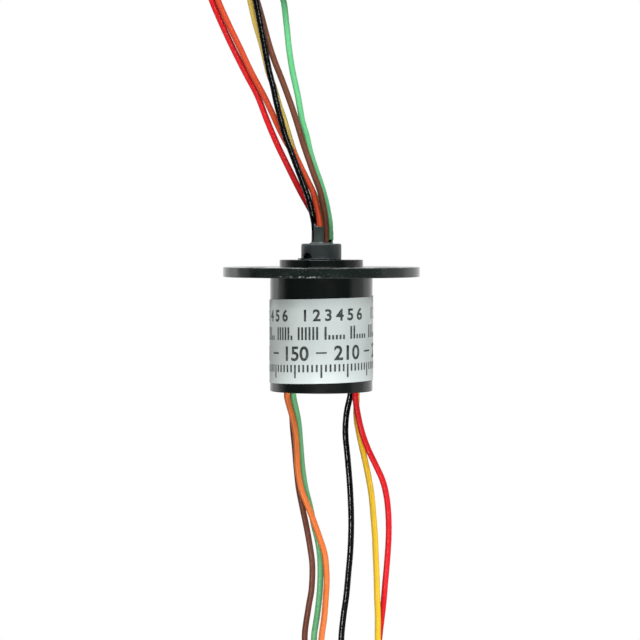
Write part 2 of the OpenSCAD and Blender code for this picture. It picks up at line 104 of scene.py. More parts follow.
def roundedOutline(corners, steps=4):  # corners are (r, z, rounding radius)
    outline = []
    for i, (r, z, rounding) in enumerate(corners):
        here = Vector((r, z))
        before = Vector(corners[i - 1][:2]) - here
        after = Vector(corners[(i + 1) % len(corners)][:2]) - here
        if rounding == 0:
            outline.append((r, z))
            continue
        start = here + before.normalized() * rounding
        end = here + after.normalized() * rounding
        for k in range(steps + 1):
            t = k / steps
            spot = start * (1 - t) ** 2 + here * 2 * t * (1 - t) + end * t ** 2
            outline.append((spot.x, spot.y))
    return outline


def turnedPiece(name, outline, sides=180, ring=True):  # outline is (r, z), ring closes it
    startR, startZ = outline[0]
    piece = addPart(bpy.ops.mesh.primitive_circle_add, vertices=sides, radius=startR * mm,
                    location=(0, 0, startZ * mm), fill_type='NOTHING' if ring else 'NGON')
    piece.name = name
    setMode('EDIT')
    r, z = startR, startZ
    for nextR, nextZ in outline[1:] + ([outline[0]] if ring else []):
        extrudeUp(nextZ - z)
        resizeRing(nextR / r, nextZ)
        r, z = nextR, nextZ
    setMode('OBJECT')
    tidyMesh(piece)
    return piece


def addBox(size, place=(0, 0, 0)):
    box = addPart(bpy.ops.mesh.primitive_cube_add, size=1, location=[v * mm for v in place],
                  scale=[v * mm for v in size])
    tidyMesh(box)
    return box


def facesOut(piece):  # whether its faces look away from the axis
    return sum(face.normal.xy.dot(face.center.xy) for face in piece.data.polygons) > 0


def thicken(piece, thickness):  # inwards, towards the axis
    applyModifier(piece, 'SOLIDIFY', thickness=thickness * mm,
                  offset=-1 if facesOut(piece) else 1)


def cutWith(piece, cutter):
    applyModifier(piece, 'BOOLEAN', operation='DIFFERENCE', solver='EXACT', object=cutter)
    bpy.data.objects.remove(cutter)


def drill(piece, radius, spot, height, turn=(0, 0, 0), sides=48):
    cutWith(piece, addPart(
        bpy.ops.mesh.primitive_cylinder_add, vertices=sides, radius=radius * mm,
        depth=height * mm, location=[v * mm for v in spot], rotation=turn))


def moveVertices(piece, shift):  # shift takes and gives a place in millimetres
    for vertex in piece.data.vertices:
        vertex.co = Vector(shift(vertex.co / mm)) * mm


def blendValue(points, x):  # straight between (x, value) points
    for (x0, v0), (x1, v1) in zip(points, points[1:]):
        if x <= x1:
            return v0 + (v1 - v0) * max(0, (x - x0) / (x1 - x0))
    return points[-1][1]


# camera
viewer = {"place": (-0.16, -300, 5), "tiltDown": 1.96, "lens": 138.4, "sensor": 36}
bpy.ops.object.camera_add(
    location=[v * mm for v in viewer["place"]],
    rotation=(math.radians(90 - viewer["tiltDown"]), 0, 0))
camera = bpy.context.object
camera.data.lens = viewer["lens"]
camera.data.sensor_width = viewer["sensor"]
camera.data.clip_start = 0.01
bpy.context.scene.camera = camera
print("camera placed")

# leads: six flying leads at each end, each wound up in its own layer of a coil
leadSizes = {
    "diameter": 0.75, "length": 250, "space": 0.77, "entryRadius": 9.62,
    "stepsPerTurn": 48, "stepsPerSpan": 6, "roundness": 6,
    "rotorCoil": (-3.4, 48), "statorCoil": (-2.1, -62),
}
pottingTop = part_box("rotor_potting")[1].z / mm
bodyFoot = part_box("housing")[0].z / mm


def layer(i):
    return (i - 2.5) * leadSizes["space"]


def rotorBundle(i):
    y = layer(i)
    return [(-12.7, y, 44), (-13, y, 46.2), (-13.02, y, 48)]


def statorBundle(i):
    y = layer(i)
    return [(6.9, y, -57), (7.5, y, -60), (7.52, y, -62)]


rotorRoutes = {
    "black": [
        (-0.8, -0.15, pottingTop), (-0.8, -0.15, 5.4), (-0.9, -0.3, 6.6),
        (-1.1, -0.6, 7.6), (-1.5, -0.85, 9.3), (-2.2, -1, 11.3), (-2.95, -1.05, 13.3),
        (-3.7, -1.05, 15.3), (-4.4, -1.1, 17.2), (-4.95, -1.15, 19.2), (-5.45, -1.25, 21.2),
        (-5.85, -1.35, 23.1), (-6.35, -1.45, 25.1), (-6.9, -1.6, 28), (-7.4, -1.75, 30.8),
        (-8, -1.9, 33.8), (-8.6, layer(0), 35.8), (-9.8, layer(0), 38.2),
        (-11.4, layer(0), 41)] + rotorBundle(0),
    "brown": [
        (0.62, -0.72, pottingTop), (0.62, -0.72, 5.4), (0.55, -0.78, 6.8), (0.3, -0.8, 8.4),
        (-0.15, -0.75, 10.4), (-0.85, -0.65, 12.3), (-1.55, -0.6, 14.3),
        (-2.2, -0.55, 16.2), (-2.8, -0.55, 18.2), (-3.4, -0.55, 20.1), (-4.1, -0.55, 22.1),
        (-4.85, -0.6, 24.1), (-5.6, -0.65, 26), (-6.25, -0.75, 27.9), (-6.8, -0.9, 29.9),
        (-7.3, -1.05, 31.8), (-7.9, -1.1, 33.8), (-8.6, layer(1), 35.8),
        (-9.8, layer(1), 38.2), (-11.4, layer(1), 41)] + rotorBundle(1),
    "yellow": [
        (0.32, 0.73, pottingTop), (0.32, 0.73, 5.4), (0, 0.75, 7.4),
        (-0.6, 0.7, 9.4), (-1.5, 0.65, 11.4), (-2.45, 0.6, 13.3), (-3.3, 0.6, 15.2),
        (-3.95, 0.55, 17.2), (-4.55, 0.4, 19.2), (-5.2, 0.3, 21.1), (-5.75, 0.2, 23),
        (-6.45, 0.1, 25), (-7.15, -0.05, 27.9), (-8, -0.2, 30.8), (-8.7, -0.35, 33.8),
        (-9.3, layer(2), 36), (-10.3, layer(2), 38.6),
        (-11.6, layer(2), 41.3)] + rotorBundle(2),
    "orange": [
        (-0.15, -0.72, pottingTop), (-0.15, -0.72, 5.8), (-0.32, -0.45, 7.4),
        (-0.56, -0.3, 8.6), (-1.08, -0.25, 10.5), (-1.6, -0.22, 11.5),
        (-2.45, -0.22, 13.3), (-3.4, -0.24, 15.1), (-4.22, -0.15, 16.3), (-5.2, 0, 18.2),
        (-6.06, 0.05, 20.1), (-7.02, 0.1, 22.1), (-8.57, 0.15, 25), (-9.92, 0.2, 27.9),
        (-11.32, 0.3, 30.8), (-12.62, 0.35, 33.8), (-13.2, layer(3), 36.2),
        (-13.5, layer(3), 38.8), (-13.3, layer(3), 41.4)] + rotorBundle(3),
    "red": [
        (-0.42, 0.58, pottingTop), (-0.42, 0.58, 6.1), (-0.85, 0.6, 7.3),
        (-1.6, 0.6, 8.7), (-2.6, 0.6, 10.5), (-3.95, 0.65, 13.2), (-5.4, 0.7, 16.2),
        (-6.63, 0.8, 19.1), (-7.8, 0.85, 22.1), (-9.33, 0.95, 25), (-10.78, 1, 27.9),
        (-12.13, 1.05, 30.8), (-13.4, 1.1, 33.8), (-14.1, layer(4), 36.2),
        (-14.2, layer(4), 38.8), (-13.6, layer(4), 41.4)] + rotorBundle(4),
    "green": [
        (1.05, -0.1, pottingTop), (1.05, -0.1, 6.2), (0.9, 0.05, 7.4),
        (0.5, 0.15, 9.4), (-0.05, 0.2, 11.3), (-0.75, 0.2, 13.3), (-1.35, 0.25, 15.2),
        (-1.8, 0.3, 17.2), (-2.35, 0.4, 19.1), (-2.85, 0.5, 22), (-3.5, 0.8, 25),
        (-3.95, 1.1, 27.9), (-4.25, 1.5, 30.8), (-4.65, 1.8, 33.8), (-5.5, layer(5), 35.8),
        (-7.3, layer(5), 37.4), (-9.6, layer(5), 39),
        (-11.6, layer(5), 41.4)] + rotorBundle(5),
}
statorRoutes = {
    "orange": [
        (-4.15, -0.6, bodyFoot), (-4.15, -0.6, -14.8), (-3.45, -0.65, -17.4),
        (-3.1, -0.65, -19.5), (-2.97, -0.7, -21.6), (-2.85, -0.75, -23.7),
        (-2.42, -0.8, -25.9), (-1.7, -0.8, -27.8), (-1, -0.85, -29.6),
        (-0.18, -0.85, -31.9), (0.44, -0.9, -34), (0.65, -0.95, -36.8), (0.55, -1, -39),
        (0.35, -1.1, -41.6), (0, -1.3, -44.3), (0.1, -1.6, -46.6), (1.4, layer(0), -49),
        (3.4, layer(0), -51), (5.5, layer(0), -53.8)] + statorBundle(0),
    "yellow": [
        (4.35, 0.3, bodyFoot), (4.32, 0.3, -14.8), (4.3, 0.3, -17.2),
        (4.75, 0.35, -19.8), (5.4, 0.4, -22.7), (5.83, 0.35, -24.8), (6.15, 0.25, -26.8),
        (6.35, 0.1, -29), (6.55, -0.1, -31.6), (6.65, -0.3, -34), (6.75, -0.5, -36.4),
        (6.8, -0.7, -38.8), (6.9, -0.85, -41.4), (6.9, -0.95, -44.3), (7, -1.05, -48),
        (7.05, layer(1), -51), (7, layer(1), -54)] + statorBundle(1),
    "black": [
        (3.55, 0.3, bodyFoot), (3.52, 0.3, -14.6), (3.07, 0.3, -16.8),
        (2.95, 0.25, -19.2), (3.18, 0.2, -21.8), (3.44, 0.1, -24.8), (3.6, 0, -27.6),
        (3.66, -0.1, -30.2), (3.56, -0.15, -33.4), (3.32, -0.2, -36.2), (3.06, -0.25, -39),
        (2.7, -0.3, -41.6), (2.45, -0.35, -44.3), (2.6, layer(2), -46.8),
        (3.6, layer(2), -49.6), (5.1, layer(2), -52.6)] + statorBundle(2),
    "green": [
        (-3.38, -0.15, bodyFoot), (-3.38, -0.15, -14.8), (-2.82, 0, -17.6),
        (-2.55, 0.1, -20.6), (-2.32, 0.15, -23.4), (-1.95, 0.15, -25.8), (-1.45, 0.1, -27.8),
        (-0.9, 0.1, -30.4), (-0.3, 0.1, -33), (-0.1, 0.15, -35.6), (-0.2, 0.2, -38.6),
        (-0.5, 0.25, -41.4), (-0.9, 0.3, -44.3), (-0.6, layer(3), -46.6),
        (0.9, layer(3), -48.8), (3.1, layer(3), -50.8),
        (5.4, layer(3), -53.6)] + statorBundle(3),
    "red": [
        (4.15, -0.6, bodyFoot), (4.18, -0.6, -15), (4.46, -0.6, -16.8),
        (4.95, -0.5, -18.9), (5.7, -0.4, -21), (6.6, -0.3, -22.9), (7.5, -0.1, -24.9),
        (8, 0.1, -27), (8.23, 0.3, -29.4), (8.25, 0.5, -32), (8.08, 0.65, -34.8),
        (7.84, 0.8, -37.6), (7.6, 0.9, -40.4), (7.15, 1, -44.3), (6.9, 1.1, -48),
        (6.85, layer(4), -51), (6.8, layer(4), -54)] + statorBundle(4),
    "brown": [
        (-3.65, 0.6, bodyFoot), (-3.65, 0.6, -14.8), (-3.52, 0.7, -18),
        (-3.26, 0.8, -20.8), (-3.05, 0.85, -23.4), (-2.78, 0.95, -25.9), (-2.36, 1, -28.1),
        (-1.8, 1.05, -30.8), (-1.35, 1.1, -33.4), (-1.1, 1.15, -35.6),
        (-1.2, 1.25, -38.4), (-1.56, 1.35, -40.6), (-2.05, 1.5, -44.3),
        (-1.6, 1.8, -46.4), (-0.1, layer(5), -48.2), (2.2, layer(5), -50),
        (4.8, layer(5), -52.8)] + statorBundle(5),
}
tinnedEnd = {"length": 3, "radius": 0.23, "strands": 7, "twist": 14, "steps": 14, "inside": 0.5}


def smoothRoute(points):  # a smooth line through every point of the route
    line = []
    ends = [2 * points[0] - points[1]] + points + [2 * points[-1] - points[-2]]
    for a, b, c, d in zip(ends, ends[1:], ends[2:], ends[3:]):
        for k in range(leadSizes["stepsPerSpan"]):
            t = k / leadSizes["stepsPerSpan"]
            line.append(0.5 * (2 * b + (c - a) * t + (2 * a - 5 * b + 4 * c - d) * t ** 2
                               + (3 * b - a - 3 * c + d) * t ** 3))
    return line + [points[-1]]


def woundPart(centre, y, startAngle, wanted):  # a flat spiral that turns inwards
    x0, z0 = centre
    stepAngle = 2 * math.pi / leadSizes["stepsPerTurn"]
    line, used, i, last = [], 0, 0, None
    while used < wanted:
        angle = startAngle - i * stepAngle
        radius = leadSizes["entryRadius"] - leadSizes["space"] * i / leadSizes["stepsPerTurn"]
        spot = Vector((x0 + radius * math.cos(angle), y, z0 + radius * math.sin(angle)))
        if last is not None:
            used += (spot - last).length
            line.append(spot)
        last = spot
        i += 1
    return line


def lineLength(line):
    return sum((b - a).length for a, b in zip(line, line[1:]))


def makeTinnedEnd():  # twisted strands, tinned together
    sizes = tinnedEnd
    piece = addPart(bpy.ops.mesh.primitive_circle_add, vertices=4 * sizes["strands"],
                    radius=sizes["radius"] * mm, location=(0, 0, -sizes["inside"] * mm))
    for i, vertex in enumerate(piece.data.vertices):
        vertex.co *= 1 if i % 4 in (1, 2) else (0.93 if i % 4 == 3 else 0.86)
    setMode('EDIT')
    step = (sizes["length"] + sizes["inside"]) / sizes["steps"]
    for i in range(sizes["steps"]):
        extrudeUp(step)
        bpy.ops.transform.rotate(value=math.radians(sizes["twist"]), orient_axis='Z',
                                 center_override=(0, 0, 0))
    for shrink, rise in ((0.8, 0.06), (0.4, 0.04)):
        extrudeUp(rise)
        resizeRing(shrink)
    bpy.ops.mesh.edge_face_add()
    setMode('OBJECT')
    tidyMesh(piece)
    smoothByAngle(piece, 60)
    return piece


def makeLead(end, colour, route, startAngle, centre, tipModel):
    points = [Vector(p) for p in route]
    line = smoothRoute(points)
    wound = woundPart(centre, points[-1].y, startAngle, leadSizes["length"] - lineLength(line))
    line += wound
    rise = 1 if end == "rotor" else -1
    line[0].z -= rise * 0.4  # the lead starts inside the resin
    curve = bpy.data.curves.new(f"{end}Lead{colour.title()}", 'CURVE')
    curve.dimensions = '3D'
    curve.bevel_depth = 1  # the points carry the radius, so that the curve's own box is right
    curve.bevel_resolution = leadSizes["roundness"]
    curve.use_fill_caps = True
    spline = curve.splines.new('POLY')
    spline.points.add(len(line) - 1)
    for point, spot in zip(spline.points, line):
        point.co = (*(spot * mm), 1)
        point.radius = leadSizes["diameter"] / 2 * mm
    lead = bpy.data.objects.new(curve.name, curve)
    bpy.context.scene.collection.objects.link(lead)
    tip = tipModel.copy()
    tip.data = tipModel.data.copy()
    tip.name = f"{end}Tip{colour.title()}"
    bpy.context.scene.collection.objects.link(tip)
    heading = (line[-1] - line[-2]).normalized()
    turn = heading.to_track_quat('Z', 'Y').to_matrix().to_4x4()
    tip.data.transform(Matrix.Translation(line[-1] * mm) @ turn)
    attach(lead, end)
    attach(tip, end)
    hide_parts(f"{end}_lead_{colour}", f"{end}_lead_coil")
    return lead, tip


leadPieces, tipPieces = {}, []
tipModel = makeTinnedEnd()
for end, routes, startAngle, centre in (
        ("rotor", rotorRoutes, math.pi, leadSizes["rotorCoil"]),
        ("stator", statorRoutes, 0, leadSizes["statorCoil"])):
    for colour, route in routes.items():
        lead, tip = makeLead(end, colour, route, startAngle, centre, tipModel)
        leadPieces[end, colour] = lead
        tipPieces.append(tip)
bpy.data.objects.remove(tipModel)
print("leads laid:", len(leadPieces))

# ties: a small nylon band with its lock round the turns of each coil
tieSizes = {
    "width": 1.2, "thickness": 0.34, "turnsWidth": 4.62, "turnsDepth": 3.8, "corner": 0.5,
    "lock": (1.8, 1.5, 1.7), "tail": 1.6, "ridge": 0.3,
}


def makeTie(end, centre, side):
    sizes = tieSizes
    halfY = sizes["turnsWidth"] / 2 + 0.02
    halfZ = sizes["turnsDepth"] / 2 + 0.05
    band = addBox((sizes["width"], 2 * halfY, 2 * halfZ))
    band.name = f"{end}Tie"
    setMode('EDIT')
    bpy.ops.mesh.select_all(action='DESELECT')
    setMode('OBJECT')
    for face in band.data.polygons:
        face.select = abs(face.normal.x) > 0.9
    setMode('EDIT')
    bpy.ops.mesh.delete(type='FACE')
    setMode('OBJECT')
    for edge in band.data.edges:
        ends = [band.data.vertices[i].co for i in edge.vertices]
        edge.select = abs(ends[0].x - ends[1].x) > 1e-6
    setMode('EDIT')
    bpy.ops.mesh.select_mode(type='EDGE')
    bpy.ops.mesh.bevel(offset=sizes["corner"] * mm, segments=6)
    bpy.ops.mesh.select_mode(type='VERT')
    setMode('OBJECT')
    applyModifier(band, 'SOLIDIFY', thickness=sizes["thickness"] * mm, offset=1)
    softenEdges(band, 0.07, segments=2)

    lockX, lockY, lockZ = sizes["lock"]
    lockPlace = (0, -halfY - sizes["thickness"] - lockY / 2 + 0.25, 0.3)
    lock = addBox(sizes["lock"], lockPlace)
    slotY, lockTop = lockPlace[1] + 0.05, lockPlace[2] + lockZ / 2
    cutWith(lock, addBox((sizes["width"] + 0.06, sizes["thickness"] + 0.1, 0.8),
                         (0, slotY, lockTop)))
    softenEdges(lock, 0.12)
    tailLow = lockTop - 0.3
    tail = addBox((sizes["width"], sizes["thickness"], sizes["tail"]),
                  (0, slotY, tailLow + sizes["tail"] / 2))
    setMode('EDIT')
    bpy.ops.mesh.select_all(action='SELECT')
    bpy.ops.mesh.subdivide(number_cuts=9)
    setMode('OBJECT')
    front = slotY - sizes["thickness"] / 2

    def ridged(spot):  # saw teeth across the face of the tail
        if spot.y > front + 1e-3 or abs(spot.x) > sizes["width"] / 2 - 0.2:
            return spot
        share = (spot.z - tailLow) / sizes["ridge"] % 1
        return (spot.x, spot.y + 0.07 * share, spot.z)

    moveVertices(tail, ridged)
    softenEdges(tail, 0.03, segments=1, angle=60)
    activate(band)
    lock.select_set(True)
    tail.select_set(True)
    bpy.ops.object.join()
    x0, z0 = centre
    middle = (side * (sizes["turnsDepth"] / 2 + 6.2)) + z0
    flip = Matrix.Rotation(math.pi, 4, 'Y') if side < 0 else Matrix.Identity(4)
    band.data.transform(Matrix.Translation((x0 * mm, 0, middle * mm)) @ flip)
    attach(band, end)
    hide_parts(f"{end}_lead_tie")
    return band


ties = [makeTie("rotor", leadSizes["rotorCoil"], 1),
        makeTie("stator", leadSizes["statorCoil"], -1)]
print("ties made:", len(ties))

# housing: turned body, flange and collar, hollow inside, with three screw holes
housingSizes = {
    "bodyRadius": 6.25, "flangeRadius": 12, "flangeThickness": 1.2, "collarRadius": 5.1,
    "collarTop": 2.1, "lipRadius": 2.62, "bearingRadius": 4, "bearingTop": 1.6,
    "bearingFoot": -0.9, "cavityRadius": 5.2, "capSeatRadius": 5.4, "capTop": -12.4,
    "edge": 0.13, "sides": 192,
    "holes": 3, "holeRadius": 1.35, "holeCircle": 9, "firstHole": 90,
}


def makeHousing():
    s = housingSizes
    edge = s["edge"]
    corners = [
        (s["lipRadius"], s["collarTop"], 0.06), (s["collarRadius"], s["collarTop"], edge),
        (s["collarRadius"], s["flangeThickness"], 0.08),
        (s["flangeRadius"], s["flangeThickness"], 0.09), (s["flangeRadius"], 0, 0.12),
        (s["bodyRadius"], 0, 0.1), (s["bodyRadius"], bodyFoot, edge),
        (s["capSeatRadius"], bodyFoot, 0.05), (s["capSeatRadius"], s["capTop"], 0),
        (s["cavityRadius"], s["capTop"], 0), (s["cavityRadius"], s["bearingFoot"], 0.1),
        (s["bearingRadius"], s["bearingFoot"], 0.1), (s["bearingRadius"], s["bearingTop"], 0),
        (s["lipRadius"], s["bearingTop"], 0.05)]
    housing = turnedPiece("housingShell", roundedOutline(corners), sides=s["sides"])
    for i in range(s["holes"]):
        angle = math.radians(s["firstHole"] + 360 * i / s["holes"])
        drill(housing, s["holeRadius"],
              (s["holeCircle"] * math.cos(angle), s["holeCircle"] * math.sin(angle),
               s["flangeThickness"] / 2), 4)
    softenEdges(housing, 0.06, segments=2, angle=50)
    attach(housing, "stator")
    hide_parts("housing")
    return housing


housingShell = makeHousing()
print("housing turned")

# end cap: disc with the two lead exits, and the boss that holds the lower bearing
capSizes = {
    "radius": 5.39, "foot": -13.9, "top": -12.4, "bossRadius": 2.9, "bossTop": -10.3,
    "seatRadius": 2.51, "seatFoot": -12.6, "reliefRadius": 1.8, "reliefFoot": -13.0,
    "exitX": 3.8, "exitRadius": 1.1, "sides": 144,
}


def makeEndCap():
    s = capSizes
    corners = [
        (s["reliefRadius"], s["reliefFoot"], 0), (s["reliefRadius"], s["seatFoot"], 0),
        (s["seatRadius"], s["seatFoot"], 0), (s["seatRadius"], s["bossTop"], 0.04),
        (s["bossRadius"], s["bossTop"], 0.06), (s["bossRadius"], s["top"], 0.08),
        (s["radius"], s["top"], 0.08), (s["radius"], s["foot"], 0.12), (0, s["foot"], 0)]
    cap = turnedPiece("endCapDisc", roundedOutline(corners), sides=s["sides"], ring=False)
    for side in (-1, 1):
        drill(cap, s["exitRadius"], (side * s["exitX"], 0, (s["foot"] + s["top"]) / 2), 4)
    softenEdges(cap, 0.05, segments=2, angle=50)
    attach(cap, "stator")
    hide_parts("end_cap")
    return cap


endCapDisc = makeEndCap()
print("end cap made")

# label: a film wrapped round the body, printed with circuit numbers and a degree scale
labelSizes = {
    "radius": 6.268, "thickness": 0.059, "height": 10.15, "middle": -7.6, "halfTurn": 176,
    "rise": 0.88, "columns": 264, "rows": 6, "corner": 0.6,
}
printSizes = {
    "proud": 0.004, "thickness": 0.005, "bold": 0.055,
    "circuitRow": {"z": -4.45, "height": 1.4, "groups": 4, "count": 6, "start": -3.4},
    "groupRow": {"z": -6.65, "height": 1.55, "gap": 3.31, "count": 6, "pitch": 0.46, "bar": 0.26,
                 "stub": 0.35},
    "degreeRow": {"z": -9.0, "height": 1.75, "step": 60, "bar": 1.3},
    "tickRow": {"z": -11.2, "height": 1.6, "step": 5, "long": 30, "bar": 0.24},
}


def labelPlace(along, out, z):  # along is the arc length from the front, to the right
    turn = along / (labelSizes["radius"] + labelSizes["thickness"])
    rise = labelSizes["rise"] * turn / (2 * math.pi)
    return (out * math.sin(turn), -out * math.cos(turn), z + rise)


def makeLabel():
    s = labelSizes
    outside = s["radius"] + s["thickness"]
    width = 2 * math.radians(s["halfTurn"]) * outside
    film = addPart(bpy.ops.mesh.primitive_grid_add, x_subdivisions=s["columns"],
                   y_subdivisions=s["rows"], size=1)
    film.name = "labelFilm"
    for vertex in film.data.vertices:  # the corners of the film are a little round
        x, z = vertex.co.x * width, vertex.co.y * s["height"]
        fromEnd = width / 2 - abs(x)
        if fromEnd < s["corner"]:
            lost = s["corner"] - math.sqrt(s["corner"] ** 2 - (s["corner"] - fromEnd) ** 2)
            z *= 1 - 2 * lost / s["height"]
        vertex.co = Vector((x, 0, z)) * mm
    moveVertices(film, lambda spot: labelPlace(spot.x, outside, s["middle"] + spot.z))
    tidyMesh(film)
    thicken(film, s["thickness"])
    softenEdges(film, 0.015, segments=2, angle=50)
    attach(film, "stator")
    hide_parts("label")
    return film


def flatBar(x, z, width, height):  # a printed bar, flat in x and y until it is wrapped
    bar = addPart(bpy.ops.mesh.primitive_plane_add, size=1, location=(x * mm, z * mm, 0))
    bar.scale = (width * mm, height * mm, 1)
    activate(bar)
    bpy.ops.object.transform_apply(location=True, rotation=False, scale=True)
    return bar


def flatNumber(text, x, z, height):
    number = addPart(bpy.ops.object.text_add, location=(x * mm, (z - height / 2) * mm, 0))
    number.data.body = text
    number.data.size = height / 0.73 * mm
    number.data.align_x = 'CENTER'
    number.data.resolution_u = 4
    number.data.offset = printSizes["bold"] * mm
    activate(number)
    bpy.ops.object.convert(target='MESH')
    number = bpy.context.object
    bpy.ops.object.transform_apply(location=True, rotation=True, scale=True)
    return number


def wrapPrint(parts, name):  # joins the marks of a row and lays them round the label
    activate(parts[0])
    for part in parts[1:]:
        part.select_set(True)
    bpy.ops.object.join()
    row = bpy.context.object
    row.name = name
    lowest = min(v.co.x for v in row.data.vertices) / mm
    highest = max(v.co.x for v in row.data.vertices) / mm
    setMode('EDIT')
    cut = math.floor(lowest / 0.25) * 0.25
    while cut < highest:  # narrow strips follow the curve of the body
        bpy.ops.mesh.select_all(action='SELECT')
        bpy.ops.mesh.bisect(plane_co=(cut * mm, 0, 0), plane_no=(1, 0, 0))
        cut += 0.25
    setMode('OBJECT')
    outside = labelSizes["radius"] + labelSizes["thickness"] + printSizes["proud"]
    applyModifier(row, 'TRIANGULATE')
    moveVertices(row, lambda spot: labelPlace(spot.x, outside, spot.y))
    activate(row)
    setMode('EDIT')
    bpy.ops.mesh.select_all(action='SELECT')
    bpy.ops.mesh.remove_doubles(threshold=1e-7)
    setMode('OBJECT')
    if not facesOut(row):
        setMode('EDIT')
        bpy.ops.mesh.flip_normals()
        setMode('OBJECT')
    applyModifier(row, 'SOLIDIFY', thickness=printSizes["thickness"] * mm, offset=-1)
    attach(row, "stator")
    return row


def makePrint():
    rows = []
    whole = 2 * math.pi * (labelSizes["radius"] + labelSizes["thickness"])
    reach = labelSizes["halfTurn"] / 180 * whole / 2 - 0.6
    s = printSizes["circuitRow"]
    marks = []
    pitch = whole / (s["groups"] * (s["count"] + 1))
    for i in range(-16, 20):  # one place in seven stays blank
        x = s["start"] + i * pitch
        if abs(x) < reach - 0.4 and i % (s["count"] + 1):
            marks.append(flatNumber(str(i % (s["count"] + 1)), x, s["z"], s["height"]))
    rows.append(wrapPrint(marks, "labelCircuitNumbers"))
    s = printSizes["groupRow"]
    marks = []
    for i in range(-6, 6):  # six bars to a group, as many of them tall as the circuit's number
        for k in range(s["count"]):
            x = (i + 0.5) * s["gap"] + (k - 2.5) * s["pitch"]
            tall = k <= (i + 6) % s["count"]
            height = s["height"] * (1 if tall else s["stub"])
            if abs(x) < reach:
                marks.append(flatBar(x, s["z"] - (s["height"] - height) / 2, s["bar"], height))
    rows.append(wrapPrint(marks, "labelGroupBars"))
    s = printSizes["degreeRow"]
    marks = []
    for degrees in range(-150, 151, s["step"]):
        x = whole * degrees / 360
        marks.append(flatNumber(str(degrees + 180), x, s["z"], s["height"]))
        if degrees < 150:
            marks.append(flatBar(x + whole * s["step"] / 720, s["z"], s["bar"], 0.2))
    rows.append(wrapPrint(marks, "labelDegreeNumbers"))
    s = printSizes["tickRow"]
    marks = []
    for degrees in range(-170, 171, s["step"]):
        height = s["height"] * (1 if degrees % s["long"] == 0 else 0.55)
        marks.append(flatBar(whole * degrees / 360, s["z"] + (s["height"] - height) / 2,
                             s["bar"], height))
    rows.append(wrapPrint(marks, "labelDegreeTicks"))
    return rows


labelFilm = makeLabel()
printRows = makePrint()
print("label wrapped, rows of print:", len(printRows))

# rotor: one moulded shaft with its nose, drive notch, lead bore and wire holes
rotorSizes = {
    "noseRadius": 2.45, "noseTop": 4.05, "noseRound": 0.24, "boreRadius": 1.35,
    "journalFoot": -12.8, "journalRadius": 1, "journalTop": -10.1, "lowShoulder": 1.3,
    "lowFace": -9.8, "coreRadius": 1.9, "stackTop": -1.7, "collarRadius": 3.25,
    "collarTop": -1.25, "seatRadius": 2.8, "seatTop": -0.9, "bearingRadius": 2.5,
    "bearingTop": 1.6, "boreFoot": -9.4, "boreTip": -10.08,
    "grooveFoot": 2.13, "grooveTop": 2.28, "grooveDepth": 0.12, "sides": 160,
    "notchWidth": 1.5, "notchTop": 2.93, "notchDepth": 0.5, "notchTurn": -135,
    "ringPitch": 1.35, "firstRing": -2.15, "rings": 6, "wireHole": 0.4,
}


def makeRotor():
    s = rotorSizes
    corners = [
        (s["journalRadius"] - 0.1, s["journalFoot"], 0),
        (s["journalRadius"], s["journalFoot"] + 0.1, 0), (s["journalRadius"], s["journalTop"], 0),
        (s["lowShoulder"], s["journalTop"], 0.03), (s["lowShoulder"], s["lowFace"], 0),
        (s["coreRadius"], s["lowFace"], 0.05), (s["coreRadius"], s["stackTop"], 0),
        (s["collarRadius"], s["stackTop"], 0.04), (s["collarRadius"], s["collarTop"], 0.04),
        (s["seatRadius"], s["collarTop"], 0), (s["seatRadius"], s["seatTop"], 0.03),
        (s["bearingRadius"], s["seatTop"], 0), (s["bearingRadius"], s["bearingTop"], 0),
        (s["noseRadius"], s["bearingTop"], 0), (s["noseRadius"], s["grooveFoot"], 0),
        (s["noseRadius"] - s["grooveDepth"], s["grooveFoot"], 0),
        (s["noseRadius"] - s["grooveDepth"], s["grooveTop"], 0),
        (s["noseRadius"], s["grooveTop"], 0.02), (s["noseRadius"], s["noseTop"], s["noseRound"]),
        (s["boreRadius"], s["noseTop"], 0.05), (s["boreRadius"], s["boreFoot"], 0),
        (0, s["boreTip"], 0)]
    outline = roundedOutline(corners, steps=6)
    rotor = turnedPiece("rotorBody", outline, sides=s["sides"], ring=False)
    half = s["notchWidth"] / 2
    arch = addPart(bpy.ops.mesh.primitive_cylinder_add, vertices=64, radius=half * mm,
                   depth=2 * mm, rotation=(0, math.pi / 2, 0))
    tidyMesh(arch)
    foot = (s["grooveFoot"] + s["grooveTop"]) / 2
    middle = s["notchTop"] - half
    outwards = s["noseRadius"] - s["notchDepth"] + 1
    moveVertices(arch, lambda spot: (  # its lower half is drawn down to the groove
        spot.x + outwards, spot.y, middle + spot.z if spot.z > -0.01 else foot))
    arch.data.transform(Matrix.Rotation(math.radians(s["notchTurn"]), 4, 'Z'))
    tidyMesh(arch)
    cutWith(rotor, arch)
    for i in range(s["rings"]):
        turn = math.radians(360 * (i + 1) / s["rings"])
        height = s["firstRing"] - i * s["ringPitch"]
        reach = s["coreRadius"] / 2 + 0.5
        drill(rotor, s["wireHole"], (reach * math.cos(turn), reach * math.sin(turn), height),
              s["coreRadius"] + 1, turn=(0, math.pi / 2, turn), sides=24)
    softenEdges(rotor, 0.03, segments=2, angle=50)
    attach(rotor, "rotor")
    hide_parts("rotor_shaft")
    return rotor


